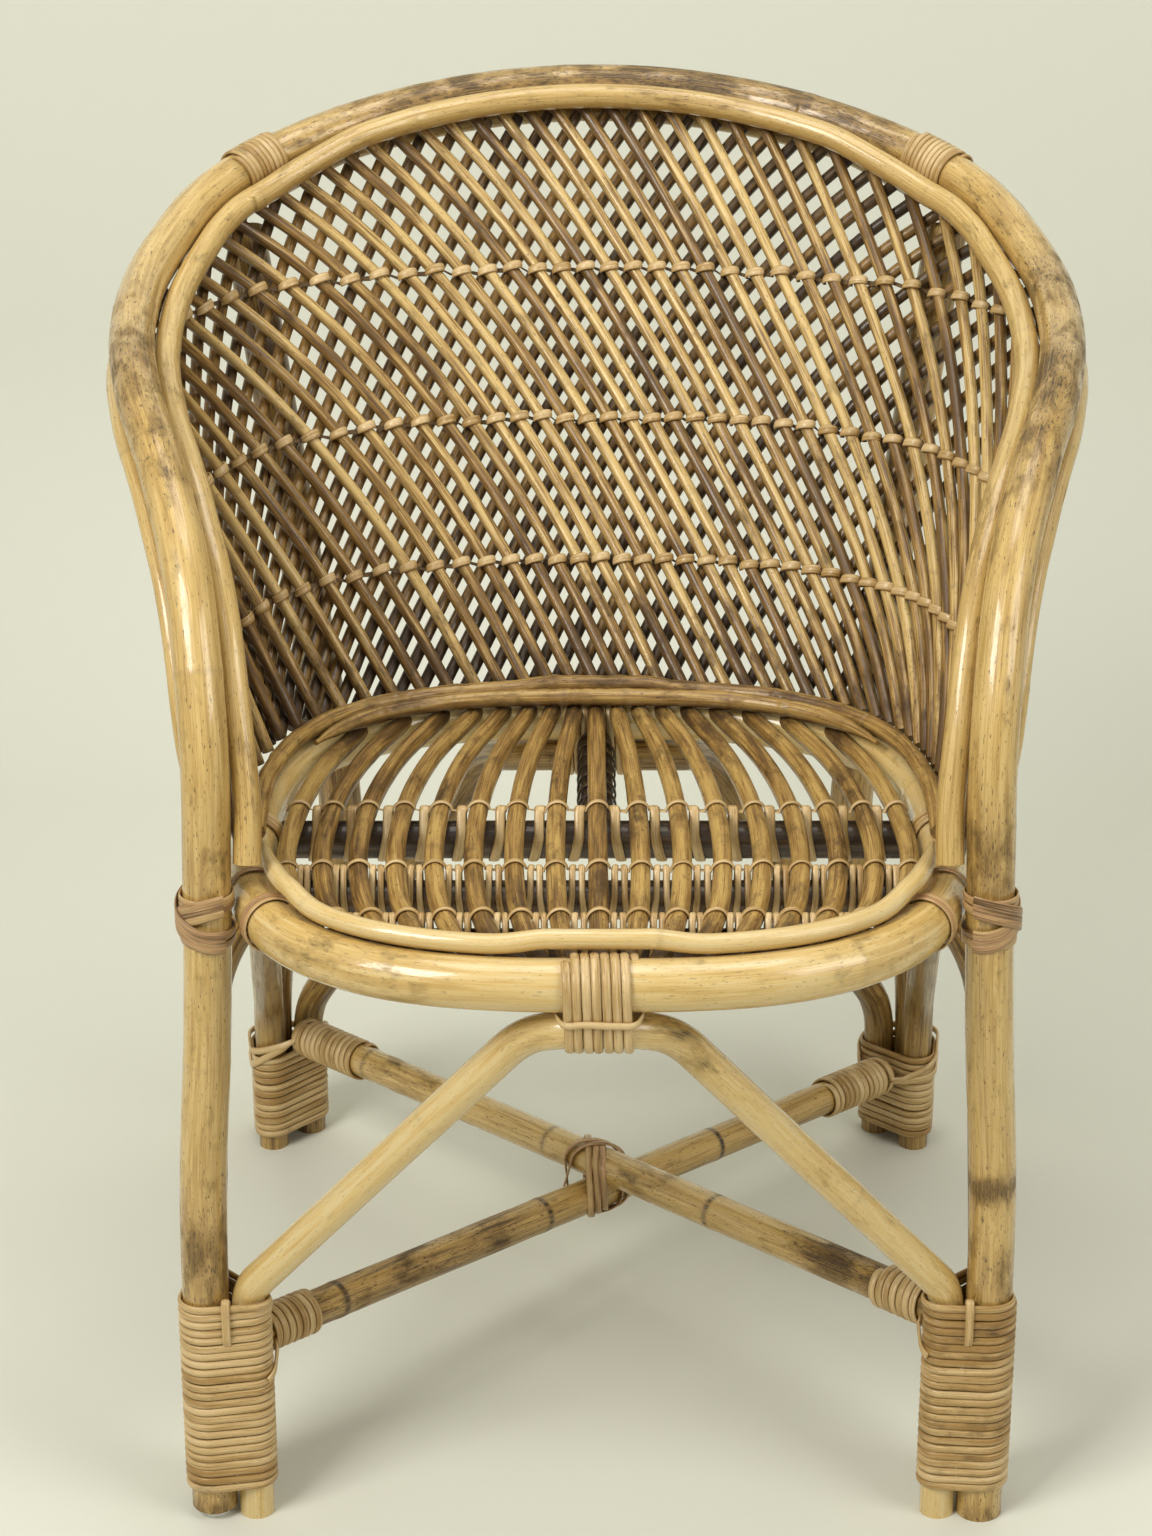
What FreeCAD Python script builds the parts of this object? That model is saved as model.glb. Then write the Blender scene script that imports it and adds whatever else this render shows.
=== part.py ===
import FreeCAD, Part
import math
import os

# Rattan tub armchair of bent poles, cane lattice and cane windings.
# Millimetres. X runs across the chair, Y from front to back, Z up from the floor.

Vector = FreeCAD.Vector
UP = Vector(0, 0, 1)

# Clearances
gap = 0.3
layer_gap = 0.6
rod_layer_gap = 0.9
lashing_slack = 2.6
waist_gap = 2.2
binding_gap = 0.9

# Seat ring, a superellipse
ring_diameter = 31.0
ring_half_width = 207.0
ring_half_depth = 202.0
ring_centre_y = -124.0
ring_height = 405.0
ring_squareness = 2.8

# Hoop: both front legs, the arms and the back rim in one pole
hoop_diameter = 29.0
leg_angle = 117.0
front_foot_splay = 10.94
hoop_back_y = 330.0
hoop_top_height = 771.0
arm_half_width = 287.1

# Hoop course above the seat, as shares of its outward, rearward and upward reach
hoop_course = (
    (-0.004, 0.0251, 0.3172),
    (0.162, 0.1029, 0.5128),
    (0.447, 0.2004, 0.6287),
    (0.773, 0.3208, 0.6995),
    (1.00, 0.4927, 0.7486),
    (0.931, 0.6440, 0.7940),
    (0.242, 0.8308, 0.8842),
    (-0.738, 0.9160, 0.9399),
)

# Linings that hold the lattice against the hoop
inner_lining_diameter = 17.0
outer_lining_diameter = 11.0
lining_reach = 0.965

# Back lattice
rod_diameter = 8.2
rods_per_layer = 60
shortest_rod = 75.0
rod_lean = 0.27
foot_crowding = 0.9
rim_crowding = 0.56
back_binding_dip = 1.6

# Levels of the back bindings, as shares of the way from the ring to the top of the hoop
back_binding_levels = {"lower": 0.246, "middle": 0.467, "upper": 0.705}

# Rear legs
rear_leg_diameter = 29.0
rear_foot_spread = 2.0
rear_foot_y = 265.0
rear_leg_angle = 43.0
rear_leg_top_place = 0.43

# Seat
cap_diameter = 12.0
cap_inward = 7.9
cap_first_angle = 106.0
back_rail_diameter = 12.0
rail_inward = 4.0
upper_rail_half_angle = 102.0
lower_rail_half_angle = 60.0
slat_count = 17
slat_diameter = 12.0
slat_rise = 8.0
slat_middle_y = -140.0
slat_middle_pitch = 25.4
slat_middle_crowding = 0.305
slat_back_pitch = 13.6
slat_back_spread = 0.085
slat_front_pitch = 15.5
slat_front_spread = 0.07
bearer_diameter = 24.0
bearer_positions = {"front": -257.0, "middle": -190.0, "rear": -101.0}
binding_dip_share = 0.16
spine_diameter = 22.0

# Arch braces and stretchers
arch_diameter = 22.0
front_arch_knee_height = 146.0
side_arch_knee_height = 165.0
rear_arch_knee_height = 80.0
front_arch_knee_radius = 30.0
front_arch_top_radius = 70.0
front_arch_half_flat = 4.0
lashed_bend_share = 0.64
arch_knee_radius = 65.0
arch_top_radius = 110.0
stretcher_diameter = 24.0
upper_stretcher_side = 1
upper_stretcher_front = 127.0
upper_stretcher_rear = 90.0
lower_stretcher_front = 110.0
lower_stretcher_rear = 58.0
stretcher_end_gap = 1.4

# Cane windings
cane_diameter = 4.4
cane_pitch = 5.5
lashing_diameter = 2.4
lashing_pitch = 3.4
front_wrap_start = 21.0
rear_wrap_start = 10.0
front_wrap_turns = 24
rear_wrap_turns = 12
stretcher_wrap_turns = {"front": 7, "rear": 11}
band_diameter = 3.0
band_pitch = 4.0
hoop_wrap_turns = 9
hoop_wrap_place = 0.27
arch_lashing_pitch = 5.5
arch_lashing_turns = 7
side_lashing_turns = 3
cross_lashing_turns = 4
spine_wrap_turns = 7
spine_wrap_pitch = 17.0

# Glide under the left front leg
glide_height = 5.5
glide_diameter = 20.0

# Worked out radii
ring_radius = ring_diameter / 2
hoop_radius = hoop_diameter / 2
rod_radius = rod_diameter / 2
rear_leg_radius = rear_leg_diameter / 2
slat_radius = slat_diameter / 2
bearer_radius = bearer_diameter / 2
spine_radius = spine_diameter / 2
arch_radius = arch_diameter / 2
stretcher_radius = stretcher_diameter / 2
lashing_room = lashing_diameter + 2 * gap
cane_room = cane_diameter + 2 * gap
band_room = band_diameter + 2 * gap
rod_offset = rod_radius + rod_layer_gap / 2
lattice_half_thickness = rod_offset + rod_radius
lattice_set_out = back_rail_diameter / 2 + gap + lattice_half_thickness - rail_inward
slat_height = ring_height + slat_rise
bearer_height = slat_height - slat_radius - bearer_radius - gap


def unit(vector):
    """Copy of a vector with length one."""
    return vector * (1.0 / vector.Length)


def arc_edge(start, direction, end):
    """Circular arc that leaves start along direction and stops at end."""
    chord = end - start
    along = direction.dot(chord) / chord.Length
    aside = direction - chord * (along / chord.Length)
    if aside.Length < 1e-5:
        return Part.makeLine(start, end)
    turn = math.atan2(aside.Length, along)
    middle = (start + end) * 0.5 + unit(aside) * (chord.Length / 2 * math.tan(turn / 2))
    return Part.Arc(start, middle, end).toShape()


def biarc(start, start_direction, end, end_direction):
    """Two tangent arcs from one station to the next."""
    chord = end - start
    total = start_direction + end_direction
    bend = 2 * (1 - start_direction.dot(end_direction))
    along = chord.dot(total)
    if chord.cross(start_direction).Length < 1e-6 and bend < 1e-9:
        return [Part.makeLine(start, end)]
    if bend < 1e-9:
        reach = chord.dot(chord) / (2 * along)
    else:
        reach = (math.sqrt(along * along + bend * chord.dot(chord)) - along) / bend
    joint = (start + start_direction * reach + end - end_direction * reach) * 0.5
    joint_direction = unit(end - end_direction * reach - start - start_direction * reach)
    return [arc_edge(start, start_direction, joint), arc_edge(joint, joint_direction, end)]


def path_along(stations):
    """Smooth wire through stations, each a point with a direction."""
    edges = []
    for (start, start_direction), (end, end_direction) in zip(stations, stations[1:]):
        edges += biarc(start, start_direction, end, end_direction)
    return Part.Wire(edges)


def pole(stations, diameter):
    """Solid round pole along stations."""
    start, direction = stations[0]
    section = Part.Wire([Part.Circle(start, direction, diameter / 2).toShape()])
    return path_along(stations).makePipeShell([section], True, False)


def stations_through(points, first=None, last=None):
    """Stations on points, with directions that follow the neighbours."""
    result = []
    for index, point in enumerate(points):
        if index == 0:
            direction = first or unit(points[1] - point)
        elif index == len(points) - 1:
            direction = last or unit(point - points[-2])
        else:
            back = point - points[index - 1]
            ahead = points[index + 1] - point
            direction = unit(back * (ahead.Length / back.Length) + ahead * (back.Length / ahead.Length))
        result.append((point, direction))
    return result


def mirrored(point):
    """The same point on the other side of the chair."""
    return Vector(-point.x, point.y, point.z)


def window(distance, half_width):
    """Smooth bump that is one at zero and falls to zero at the half width."""
    if abs(distance) >= half_width:
        return 0.0
    return math.cos(math.pi / 2 * distance / half_width) ** 2


def ring_axis(angle):
    """Seat ring axis at an angle in degrees from the back, to the right."""
    across = math.sin(math.radians(angle))
    rearward = math.cos(math.radians(angle))
    total = (abs(across) / ring_half_width) ** ring_squareness
    total += (abs(rearward) / ring_half_depth) ** ring_squareness
    reach = total ** (-1 / ring_squareness)
    return Vector(reach * across, ring_centre_y + reach * rearward, ring_height)


def ring_direction(angle):
    """Direction of the ring towards growing angles."""
    return unit(ring_axis(angle + 0.1) - ring_axis(angle - 0.1))


def ring_outward(angle):
    """Level direction square to the ring, away from the seat."""
    return unit(UP.cross(ring_direction(angle)))


def ring_angle_at(y):
    """Angle on the right half where the ring crosses a given Y."""
    low, high = 0.0, 180.0
    for _ in range(50):
        middle = (low + high) / 2
        if ring_axis(middle).y > y:
            low = middle
        else:
            high = middle
    return low


def on_ring(angle, inward, rise):
    """Point beside the ring, moved towards the seat and up."""
    return ring_axis(angle) - ring_outward(angle) * inward + UP * rise


def leg_at_ring():
    """Axis of the right front leg where it touches the ring."""
    return on_ring(leg_angle, -(ring_radius + hoop_radius + gap), 0)


def front_foot(side):
    """Middle of a front foot on the floor."""
    leg = leg_at_ring()
    return Vector(side * (leg.x + front_foot_splay), leg.y, 0)


def rear_foot(side):
    """Middle of a rear foot on the floor."""
    return Vector(side * (leg_at_ring().x + front_foot_splay + rear_foot_spread), rear_foot_y, 0)


def hoop_points():
    """Right half of the hoop, from the middle of the back to the foot."""
    wrap_top = front_wrap_start + cane_pitch * (front_wrap_turns + 1)
    leg = leg_at_ring()
    points = [front_foot(1), front_foot(1) + UP * wrap_top, leg]
    for outward, rearward, upward in hoop_course:
        x = leg.x + outward * (arm_half_width - leg.x)
        y = leg.y + rearward * (hoop_back_y - leg.y)
        z = leg.z + upward * (hoop_top_height - leg.z)
        points.append(Vector(x, y, z))
    points.append(Vector(0, hoop_back_y, hoop_top_height))
    points.reverse()
    return points


def hoop_stations():
    """Stations of the right half of the hoop, upright inside the foot wrap."""
    stations = stations_through(hoop_points(), Vector(1, 0, 0), UP * -1)
    stations[-2] = (stations[-2][0], UP * -1)
    return stations


HOOP_STATIONS = hoop_stations()
RIM_STATIONS = HOOP_STATIONS[:len(hoop_course) + 2]
RIM_STEPS = 400
RIM = path_along(RIM_STATIONS).discretize(Number=RIM_STEPS + 1)
RIM_LENGTH = path_along(RIM_STATIONS).Length


def rim_at(share):
    """Hoop axis at a share of the way from the back middle to the seat."""
    place = min(abs(share), 1.0) * RIM_STEPS
    index = min(int(place), RIM_STEPS - 1)
    point = RIM[index] + (RIM[index + 1] - RIM[index]) * (place - index)
    return point if share >= 0 else mirrored(point)


def rim_direction(share):
    """Direction of the hoop towards growing shares."""
    low = max(share - 0.004, -1.0)
    high = min(share + 0.004, 1.0)
    return unit(rim_at(high) - rim_at(low))


def rim_share(place):
    """Share of the hoop that a lattice ruling reaches."""
    return rim_crowding * place + (1 - rim_crowding) * place ** 3


def ruling_place(share):
    """Lattice ruling that reaches a share of the hoop."""
    low, high = -1.0, 1.0
    for _ in range(50):
        middle = (low + high) / 2
        if rim_share(middle) < share:
            low = middle
        else:
            high = middle
    return low


def lattice_foot(place):
    """Lower end of a lattice ruling, over the seat ring."""
    angle = leg_angle * (foot_crowding * place + (1 - foot_crowding) * place ** 3)
    return on_ring(angle, -lattice_set_out, ring_radius + lashing_room)


def lattice_point(place, rise):
    """Middle surface of the lattice, from the ring at 0 to the hoop at 1."""
    foot = lattice_foot(place)
    return foot + (rim_at(rim_share(place)) - foot) * rise


def lattice_normal(place, rise):
    """Direction square to the lattice, away from the seat."""
    step = 0.01
    across = lattice_point(place + step, rise) - lattice_point(place - step, rise)
    along = lattice_point(place, rise + step) - lattice_point(place, rise - step)
    return unit(along.cross(across))


def wrap_lift(share):
    """Room that the cane wraps on the hoop take from what lies beside it."""
    return band_room * min(1.0, 1.6 * window(abs(share) - hoop_wrap_place, 0.075))


def lashing_lift(angle):
    """Room that the lashings take on the seat ring."""
    turned = abs((angle + 180) % 360 - 180)
    nearest = min(abs(turned - place) for place in (0.0, 90.0, leg_angle, 180.0))
    return (lashing_room + layer_gap) * min(1.0, 2.2 * window(nearest, 18.0))


def rim_frame(share):
    """Hoop axis with the outward and downward directions of its lattice."""
    point = rim_at(share)
    down = lattice_foot(ruling_place(share)) - point
    along = rim_direction(share)
    outward = unit(down.cross(along))
    if outward.dot(lattice_normal(ruling_place(share) * 0.98, 0.9)) < 0:
        outward = outward * -1
    downward = outward.cross(along)
    if downward.dot(down) < 0:
        downward = downward * -1
    return point, outward, unit(downward)


def lining(diameter, side):
    """Pole along the hoop that presses the lattice from one side."""
    points = []
    count = 60
    offset = lattice_half_thickness + layer_gap + diameter / 2
    for index in range(count + 1):
        share = lining_reach * (2 * index / count - 1)
        point, outward, downward = rim_frame(share)
        reach = hoop_radius + diameter / 2 + layer_gap + wrap_lift(share)
        drop = math.sqrt(max(reach * reach - offset * offset, 0))
        points.append(point + outward * (side * offset) + downward * drop)
    return pole(stations_through(points), diameter)


def hoop():
    """The whole hoop from foot to foot, the left foot shortened for its glide."""
    left = [(mirrored(point), mirrored(along) * -1) for point, along in HOOP_STATIONS[1:]]
    left[-1] = (left[-1][0] + UP * (glide_height + gap), UP)
    left.reverse()
    return pole(left + HOOP_STATIONS, hoop_diameter)


def rim_clearance(point):
    """Distance from a point to the hoop axis."""
    twin = mirrored(point)
    near = twin if point.x < 0 else point
    return min((near - place).Length for place in RIM[::4])


def rod_point(place, lean, rise):
    """Place and point of a leaning lattice rod at a height."""
    ruling = place + lean * math.cos(math.pi / 2 * place) * (1 - 2 * rise)
    ruling = max(-1.0, min(1.0, ruling))
    return ruling, lattice_point(ruling, rise)


def rod_axis(place, lean, side, rise):
    """Axis of a rod in one layer of the lattice."""
    ruling, point = rod_point(place, lean, rise)
    return point + lattice_normal(ruling, rise) * (side * rod_offset)


def rod_top(place, lean, side):
    """Height share at which a rod stops under the hoop."""
    low, high = 0.2, 1.0
    for _ in range(14):
        middle = (low + high) / 2
        ruling = rod_point(place, lean, middle)[0]
        room = hoop_radius + rod_radius + layer_gap + wrap_lift(rim_share(ruling))
        if rim_clearance(rod_axis(place, lean, side, middle)) > room:
            low = middle
        else:
            high = middle
    return low


def rod_places():
    """Even places of the rods of a layer, from left to right."""
    return [(2 * index + 1) / rods_per_layer - 1 for index in range(rods_per_layer)]


def rod_stations(place, lean, side):
    """Stations of one rod from the seat ring to the hoop."""
    top = rod_top(place, lean, side)
    parts = 8
    points = [rod_axis(place, lean, side, top * index / parts) for index in range(parts + 1)]
    return stations_through(points)


def rod_layer(lean, side):
    """All the rods of one layer, as separate solids."""
    rods = []
    for place in rod_places():
        stations = rod_stations(place, lean, side)
        if (stations[-1][0] - stations[0][0]).Length > shortest_rod:
            rods.append(pole(stations, rod_diameter))
    return Part.makeCompound(rods)


def rise_at_height(place, lean, height):
    """Height share at which a rod of the inner layer reaches a level."""
    low, high = 0.0, 1.0
    for _ in range(30):
        middle = (low + high) / 2
        if rod_axis(place, lean, -1, middle).z < height:
            low = middle
        else:
            high = middle
    return low


def back_binding(height):
    """Cane strand that runs over each inner rod at one level."""
    crest = rod_offset + rod_radius + lashing_diameter / 2 + binding_gap
    points = []
    spots = []
    for place in rod_places():
        rise = rise_at_height(place, rod_lean, height)
        if rise < rod_top(place, rod_lean, -1) - 0.06:
            spots.append(rod_point(place, rod_lean, rise)[0])
    rows = [spot for pair in zip(spots, spots[1:]) for spot in (pair[0], (pair[0] + pair[1]) / 2)]
    for index, spot in enumerate(rows + [spots[-1]]):
        foot = lattice_foot(spot)
        top = rim_at(rim_share(spot))
        rise = (height - foot.z) / (top.z - foot.z)
        depth = crest - (back_binding_dip if index % 2 else 0)
        points.append(lattice_point(spot, rise) - lattice_normal(spot, rise) * depth)
    return pole(stations_through(points), lashing_diameter)


def seat_ring():
    """Ring pole whose ends meet at the middle of the back."""
    steps = 24
    seam = math.degrees(gap / 2 / ring_half_depth)
    angles = [seam + (360 - 2 * seam) * index / steps for index in range(steps + 1)]
    return pole([(ring_axis(angle), ring_direction(angle)) for angle in angles], ring_diameter)


def ring_keep_out(radius, first, last):
    """Round body along a stretch of the ring, used to cope what meets it."""
    steps = max(2, int(abs(last - first) / 15))
    angles = [first + (last - first) * index / steps for index in range(steps + 1)]
    return pole([(ring_axis(angle), ring_direction(angle)) for angle in angles], 2 * radius)


def beside_ring(diameter, inward, rise, first, last, steps):
    """Thin pole beside the ring that steps aside for the lashings under it."""
    points = []
    clear = math.hypot(inward, rise)
    for index in range(steps + 1):
        angle = first + (last - first) * index / steps
        need = ring_radius + diameter / 2 + gap + lashing_lift(angle)
        scale = max(1.0, need / clear)
        points.append(on_ring(angle, inward * scale, rise * scale))
    return pole(stations_through(points), diameter)


def rise_on_ring(diameter, inward):
    """Rise of a thin pole that lies on the ring at an inward offset."""
    reach = ring_radius + diameter / 2 + gap
    return math.sqrt(reach * reach - inward * inward)


def lower_rail_place():
    """Inward offset and rise of the lower back rail, on the slats beside the upper rail."""
    rise = slat_rise + slat_radius + gap + back_rail_diameter / 2
    upper_rise = rise_on_ring(back_rail_diameter, rail_inward)
    spacing = back_rail_diameter + layer_gap
    return rail_inward + math.sqrt(spacing ** 2 - (rise - upper_rise) ** 2), rise


def flank_point(x, rearward):
    """Point inside the ring's tube at a given X, on the back or front half."""
    low, high = (0.0, 90.0) if rearward else (180.0, 90.0)
    for _ in range(40):
        middle = (low + high) / 2
        if on_ring(middle, ring_radius / 2, 0).x < x:
            low = middle
        else:
            high = middle
    point = on_ring(low, ring_radius / 2, 0)
    return Vector(point.x, point.y, slat_height)


def slat_x(rank, y, back, front):
    """Sideways place of a slat, bowed outward between its ends."""
    middle = slat_middle_pitch * rank - slat_middle_crowding * rank * rank
    if y > slat_middle_y:
        share = (y - slat_middle_y) / (back.y - slat_middle_y)
        return middle + (back.x - middle) * share ** 2
    share = (y - slat_middle_y) / (front.y - slat_middle_y)
    return middle + (front.x - middle) * share ** 3


def slat_points(rank):
    """Axis points of a slat on the right half, from the back to the front."""
    back = flank_point(slat_back_pitch * rank + slat_back_spread * rank ** 3, True)
    front = flank_point(slat_front_pitch * rank + slat_front_spread * rank ** 3, False)
    rows = [bearer_positions[name] for name in ("rear", "middle", "front")]
    rows.insert(0, (back.y + rows[0]) / 2)
    rows.append((front.y + rows[-1]) / 2)
    points = [Vector(slat_x(rank, y, back, front), y, slat_height) for y in rows]
    return [back] + points + [front]


def slat_stations(rank):
    """Stations of a slat on either half of the seat."""
    points = slat_points(abs(rank))
    if rank < 0:
        points = [mirrored(point) for point in points]
    return stations_through(points)


def slat(rank, keep_outs):
    """One seat slat, coped against the ring at both ends."""
    solid = pole(slat_stations(rank), slat_diameter)
    for keep_out in keep_outs:
        solid = largest(solid.cut(keep_out))
    return solid


def largest(shape):
    """Largest solid of a shape."""
    return max(shape.Solids, key=lambda solid: solid.Volume)


def bearer(y, keep_outs):
    """Cross bearer under the slats, coped into the inner side of the ring."""
    end = ring_axis(ring_angle_at(y)).x - arch_radius - layer_gap
    solid = Part.makeCylinder(bearer_radius, 2 * end, Vector(-end, y, bearer_height), Vector(1, 0, 0))
    for keep_out in keep_outs:
        solid = largest(solid.cut(keep_out))
    return solid


def seat_ranks():
    """Ranks of the slats from left to right, zero in the middle."""
    half = slat_count // 2
    return range(-half, half + 1)


def seat_binding(name):
    """Cane strand over the slats at one bearer, dipping between them."""
    row = 2 + ("rear", "middle", "front").index(name)
    spots = [slat_stations(rank)[row][0] for rank in seat_ranks()]
    reach = ring_axis(ring_angle_at(spots[0].y)).x - cap_inward - cap_diameter
    spots = [spot for spot in spots if abs(spot.x) < reach]
    crest = slat_radius + lashing_diameter / 2 + layer_gap
    points = [spots[0] + UP * crest]
    for left, right in zip(spots, spots[1:]):
        points.append((left + right) * 0.5 + UP * (crest - binding_dip_share * (right - left).Length))
        points.append(right + UP * crest)
    level = Vector(1, 0, 0)
    return pole([(point, level) for point in points], lashing_diameter)


def spine_ends():
    """Ends of the short spine from the back of the ring to the rear bearer."""
    height = slat_height - slat_radius - lashing_room - spine_radius
    back_y = ring_axis(0).y - ring_radius - lashing_room - gap
    front_y = bearer_positions["rear"] + bearer_radius + gap
    return Vector(0, back_y, height), Vector(0, front_y, height)


def spine():
    """Short pole under the middle slat."""
    back, front = spine_ends()
    return Part.makeCylinder(spine_radius, (front - back).Length, back, front - back)


def rear_leg(side):
    """Rear leg from its foot, past the ring, up the outside of the lattice."""
    low_place = rear_leg_angle / leg_angle / foot_crowding
    standoff = lattice_half_thickness + binding_gap + rear_leg_radius
    wrap_top = rear_wrap_start + cane_pitch * (rear_wrap_turns + 1)
    points = [
        rear_foot(1),
        rear_foot(1) + UP * wrap_top,
        on_ring(rear_leg_angle, -(ring_radius + rear_leg_radius + waist_gap), 0),
    ]
    length = (rim_at(rim_share(rear_leg_top_place)) - lattice_foot(rear_leg_top_place)).Length
    top = 1 - (hoop_radius + 1.5 * outer_lining_diameter + 2 * gap + band_room) / length
    for rise in (0.09, 0.23, 0.37, 0.51, 0.65, top):
        place = low_place + (rear_leg_top_place - low_place) * rise
        points.append(lattice_point(place, rise) + lattice_normal(place, rise) * standoff)
    if side < 0:
        points = [mirrored(point) for point in points]
    stations = stations_through(points, UP)
    stations[1] = (points[1], UP)
    return pole(stations, rear_leg_diameter)


def arch_half(foot, knee_height, top, along, bends):
    """Stations from a foot, round the knee and up a straight slope to the top."""
    level = Vector(top.x - foot.x, top.y - foot.y, 0)
    across = unit(level)
    knee_radius = min(bends[0], 0.5 * level.Length)
    top_radius = min(bends[1], 0.8 * level.Length)
    run = level.Length - knee_radius
    climb = top.z - top_radius - knee_height
    turn = math.acos((knee_radius - top_radius) / math.hypot(run, climb))
    facing = math.atan2(climb, run) + turn
    normal = across * math.cos(facing) + UP * math.sin(facing)
    slope = across * math.sin(facing) - UP * math.cos(facing)
    knee_centre = Vector(foot.x, foot.y, knee_height) + across * knee_radius
    top_centre = top - UP * top_radius
    return [
        (foot, UP),
        (Vector(foot.x, foot.y, knee_height), UP),
        (knee_centre + normal * knee_radius, slope),
        (top_centre + normal * top_radius, slope),
        (top, along),
    ]


def lashed_flat(turns):
    """Half of the straight stretch that an arch needs under its lashing."""
    return arch_lashing_pitch * turns / 2 + 2 * lashing_diameter


def arch(start, start_knee, end, end_knee, top, along, half_flat, bends):
    """Brace from one foot up to the ring and down to another foot."""
    flat = along * half_flat
    rising = arch_half(start, start_knee, top - flat, along, bends)
    falling = arch_half(end, end_knee, top + flat, along * -1, bends)
    falling.reverse()
    stations = rising + [(point, direction * -1) for point, direction in falling]
    return pole(stations, arch_diameter)


def front_bundle(side):
    """Centres of the three poles at a front foot: leg, front arch and side arch."""
    reach = hoop_radius + arch_radius + gap
    leg = front_foot(side)
    return leg, leg - Vector(side * reach, 0, 0), leg + Vector(0, reach, 0)


def rear_bundle(side):
    """Centres of the three poles at a rear foot: leg, back arch and side arch."""
    reach = rear_leg_radius + arch_radius + gap
    leg = rear_foot(side)
    return leg, leg - Vector(side * reach, 0, 0), leg - Vector(0, reach, 0)


def arch_top(angle):
    """Axis of an arch where it passes under the ring."""
    return on_ring(angle, 0, -(ring_radius + arch_radius + gap))


def stretcher_ends(side, front_height, rear_height):
    """Axis ends of a stretcher from a front foot to the opposite rear foot."""
    front_leg = front_bundle(side)[0]
    rear_leg_centre = rear_bundle(-side)[0]
    across = unit(Vector(rear_leg_centre.x - front_leg.x, rear_leg_centre.y - front_leg.y, 0))
    notch = (hoop_radius + arch_radius + gap) / math.sqrt(2)
    inset = notch + arch_radius + cane_room + stretcher_end_gap
    front = front_leg + across * inset + UP * front_height
    rear = rear_leg_centre - across * inset + UP * rear_height
    return front, rear


def upper_stretcher_ends():
    """Axis ends of the stretcher that passes over the other one."""
    return stretcher_ends(upper_stretcher_side, upper_stretcher_front, upper_stretcher_rear)


def lower_stretcher_ends():
    """Axis ends of the stretcher that passes under the other one."""
    return stretcher_ends(-upper_stretcher_side, lower_stretcher_front, lower_stretcher_rear)


def stretcher(ends):
    """Straight diagonal stretcher."""
    front, rear = ends
    return Part.makeCylinder(stretcher_radius, (rear - front).Length, front, rear - front)


def support(section, angle):
    """Reach of one oval section in a direction."""
    across, rise, half_across, half_rise = section
    cosine = math.cos(angle)
    sine = math.sin(angle)
    return across * cosine + rise * sine + math.hypot(half_across * cosine, half_rise * sine)


def section_point(section, angle, stand_off):
    """Point of an oval section that faces a direction, moved outward."""
    across, rise, half_across, half_rise = section
    cosine = math.cos(angle)
    sine = math.sin(angle)
    size = math.hypot(half_across * cosine, half_rise * sine)
    x = across + half_across ** 2 * cosine / size + stand_off * cosine
    y = rise + half_rise ** 2 * sine / size + stand_off * sine
    return x, y


def bridge_angle(section, following):
    """Direction that two sections face where a straight run joins them."""
    heading = math.atan2(following[1] - section[1], following[0] - section[0])
    low, high = heading - math.pi, heading
    for _ in range(60):
        middle = (low + high) / 2
        if support(following, middle) < support(section, middle):
            low = middle
        else:
            high = middle
    return low


def turn_outline(sections, stand_off):
    """One turn round the sections: points with facing angles and run lengths."""
    count = len(sections)
    outline = []
    for index, section in enumerate(sections):
        if count == 1:
            first, last = 0.0, 2 * math.pi
        else:
            first = bridge_angle(sections[index - 1], section)
            last = bridge_angle(section, sections[(index + 1) % count])
        while last < first:
            last += 2 * math.pi
        parts = 4 if count == 1 else 2
        for part in range(parts + 1):
            if count == 1 and part == parts:
                break
            angle = first + (last - first) * part / parts
            outline.append((section_point(section, angle, stand_off), angle))
    return outline


def straight_frame(origin, first_axis, second_axis, wind_axis):
    """Frame that moves along a straight axis."""
    return lambda distance: (origin + wind_axis * distance, first_axis, second_axis, wind_axis)


def winding(frame_at, sections_at, wire, pitch, turns):
    """One unbroken strand wound round the sections, with straight ends."""
    outline = turn_outline(sections_at(0), wire / 2 + gap)
    runs = []
    for index, (point, angle) in enumerate(outline):
        following = outline[(index + 1) % len(outline)][0]
        runs.append(math.hypot(following[0] - point[0], following[1] - point[1]))
    rate = pitch / sum(runs)
    points = []
    length = 0.0
    for step in range(turns * len(outline) + 1):
        distance = rate * length
        place = turn_outline(sections_at(distance), wire / 2 + gap)[step % len(outline)]
        origin, first_axis, second_axis, wind_axis = frame_at(distance)
        point = origin + first_axis * place[0][0] + second_axis * place[0][1]
        heading = second_axis * math.cos(place[1]) - first_axis * math.sin(place[1])
        points.append((point, unit(heading + wind_axis * rate)))
        length += runs[step % len(outline)]
    first, first_heading = points[0]
    last, last_heading = points[-1]
    points.insert(0, (first - first_heading * wire, first_heading))
    points.append((last + last_heading * wire, last_heading))
    report_least_gap(points, len(outline), wire)
    return pole(points, wire)


def report_least_gap(stations, per_turn, wire):
    """Measures a winding's least gap to itself on points and prints it."""
    points = path_along(stations).discretize(Number=max(200, 8 * len(stations)))
    turn = int(len(points) * per_turn / len(stations))
    least = 1e9
    for index in range(0, len(points), 3):
        for other in points[index + turn // 2:index + 3 * turn // 2]:
            least = min(least, (points[index] - other).Length)
    print("winding least gap to itself: %.2f mm" % (least - wire))


def circle_at(point, radius):
    """Round section of a pole that stands upright."""
    return (point.x, point.y, radius, radius)


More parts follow.
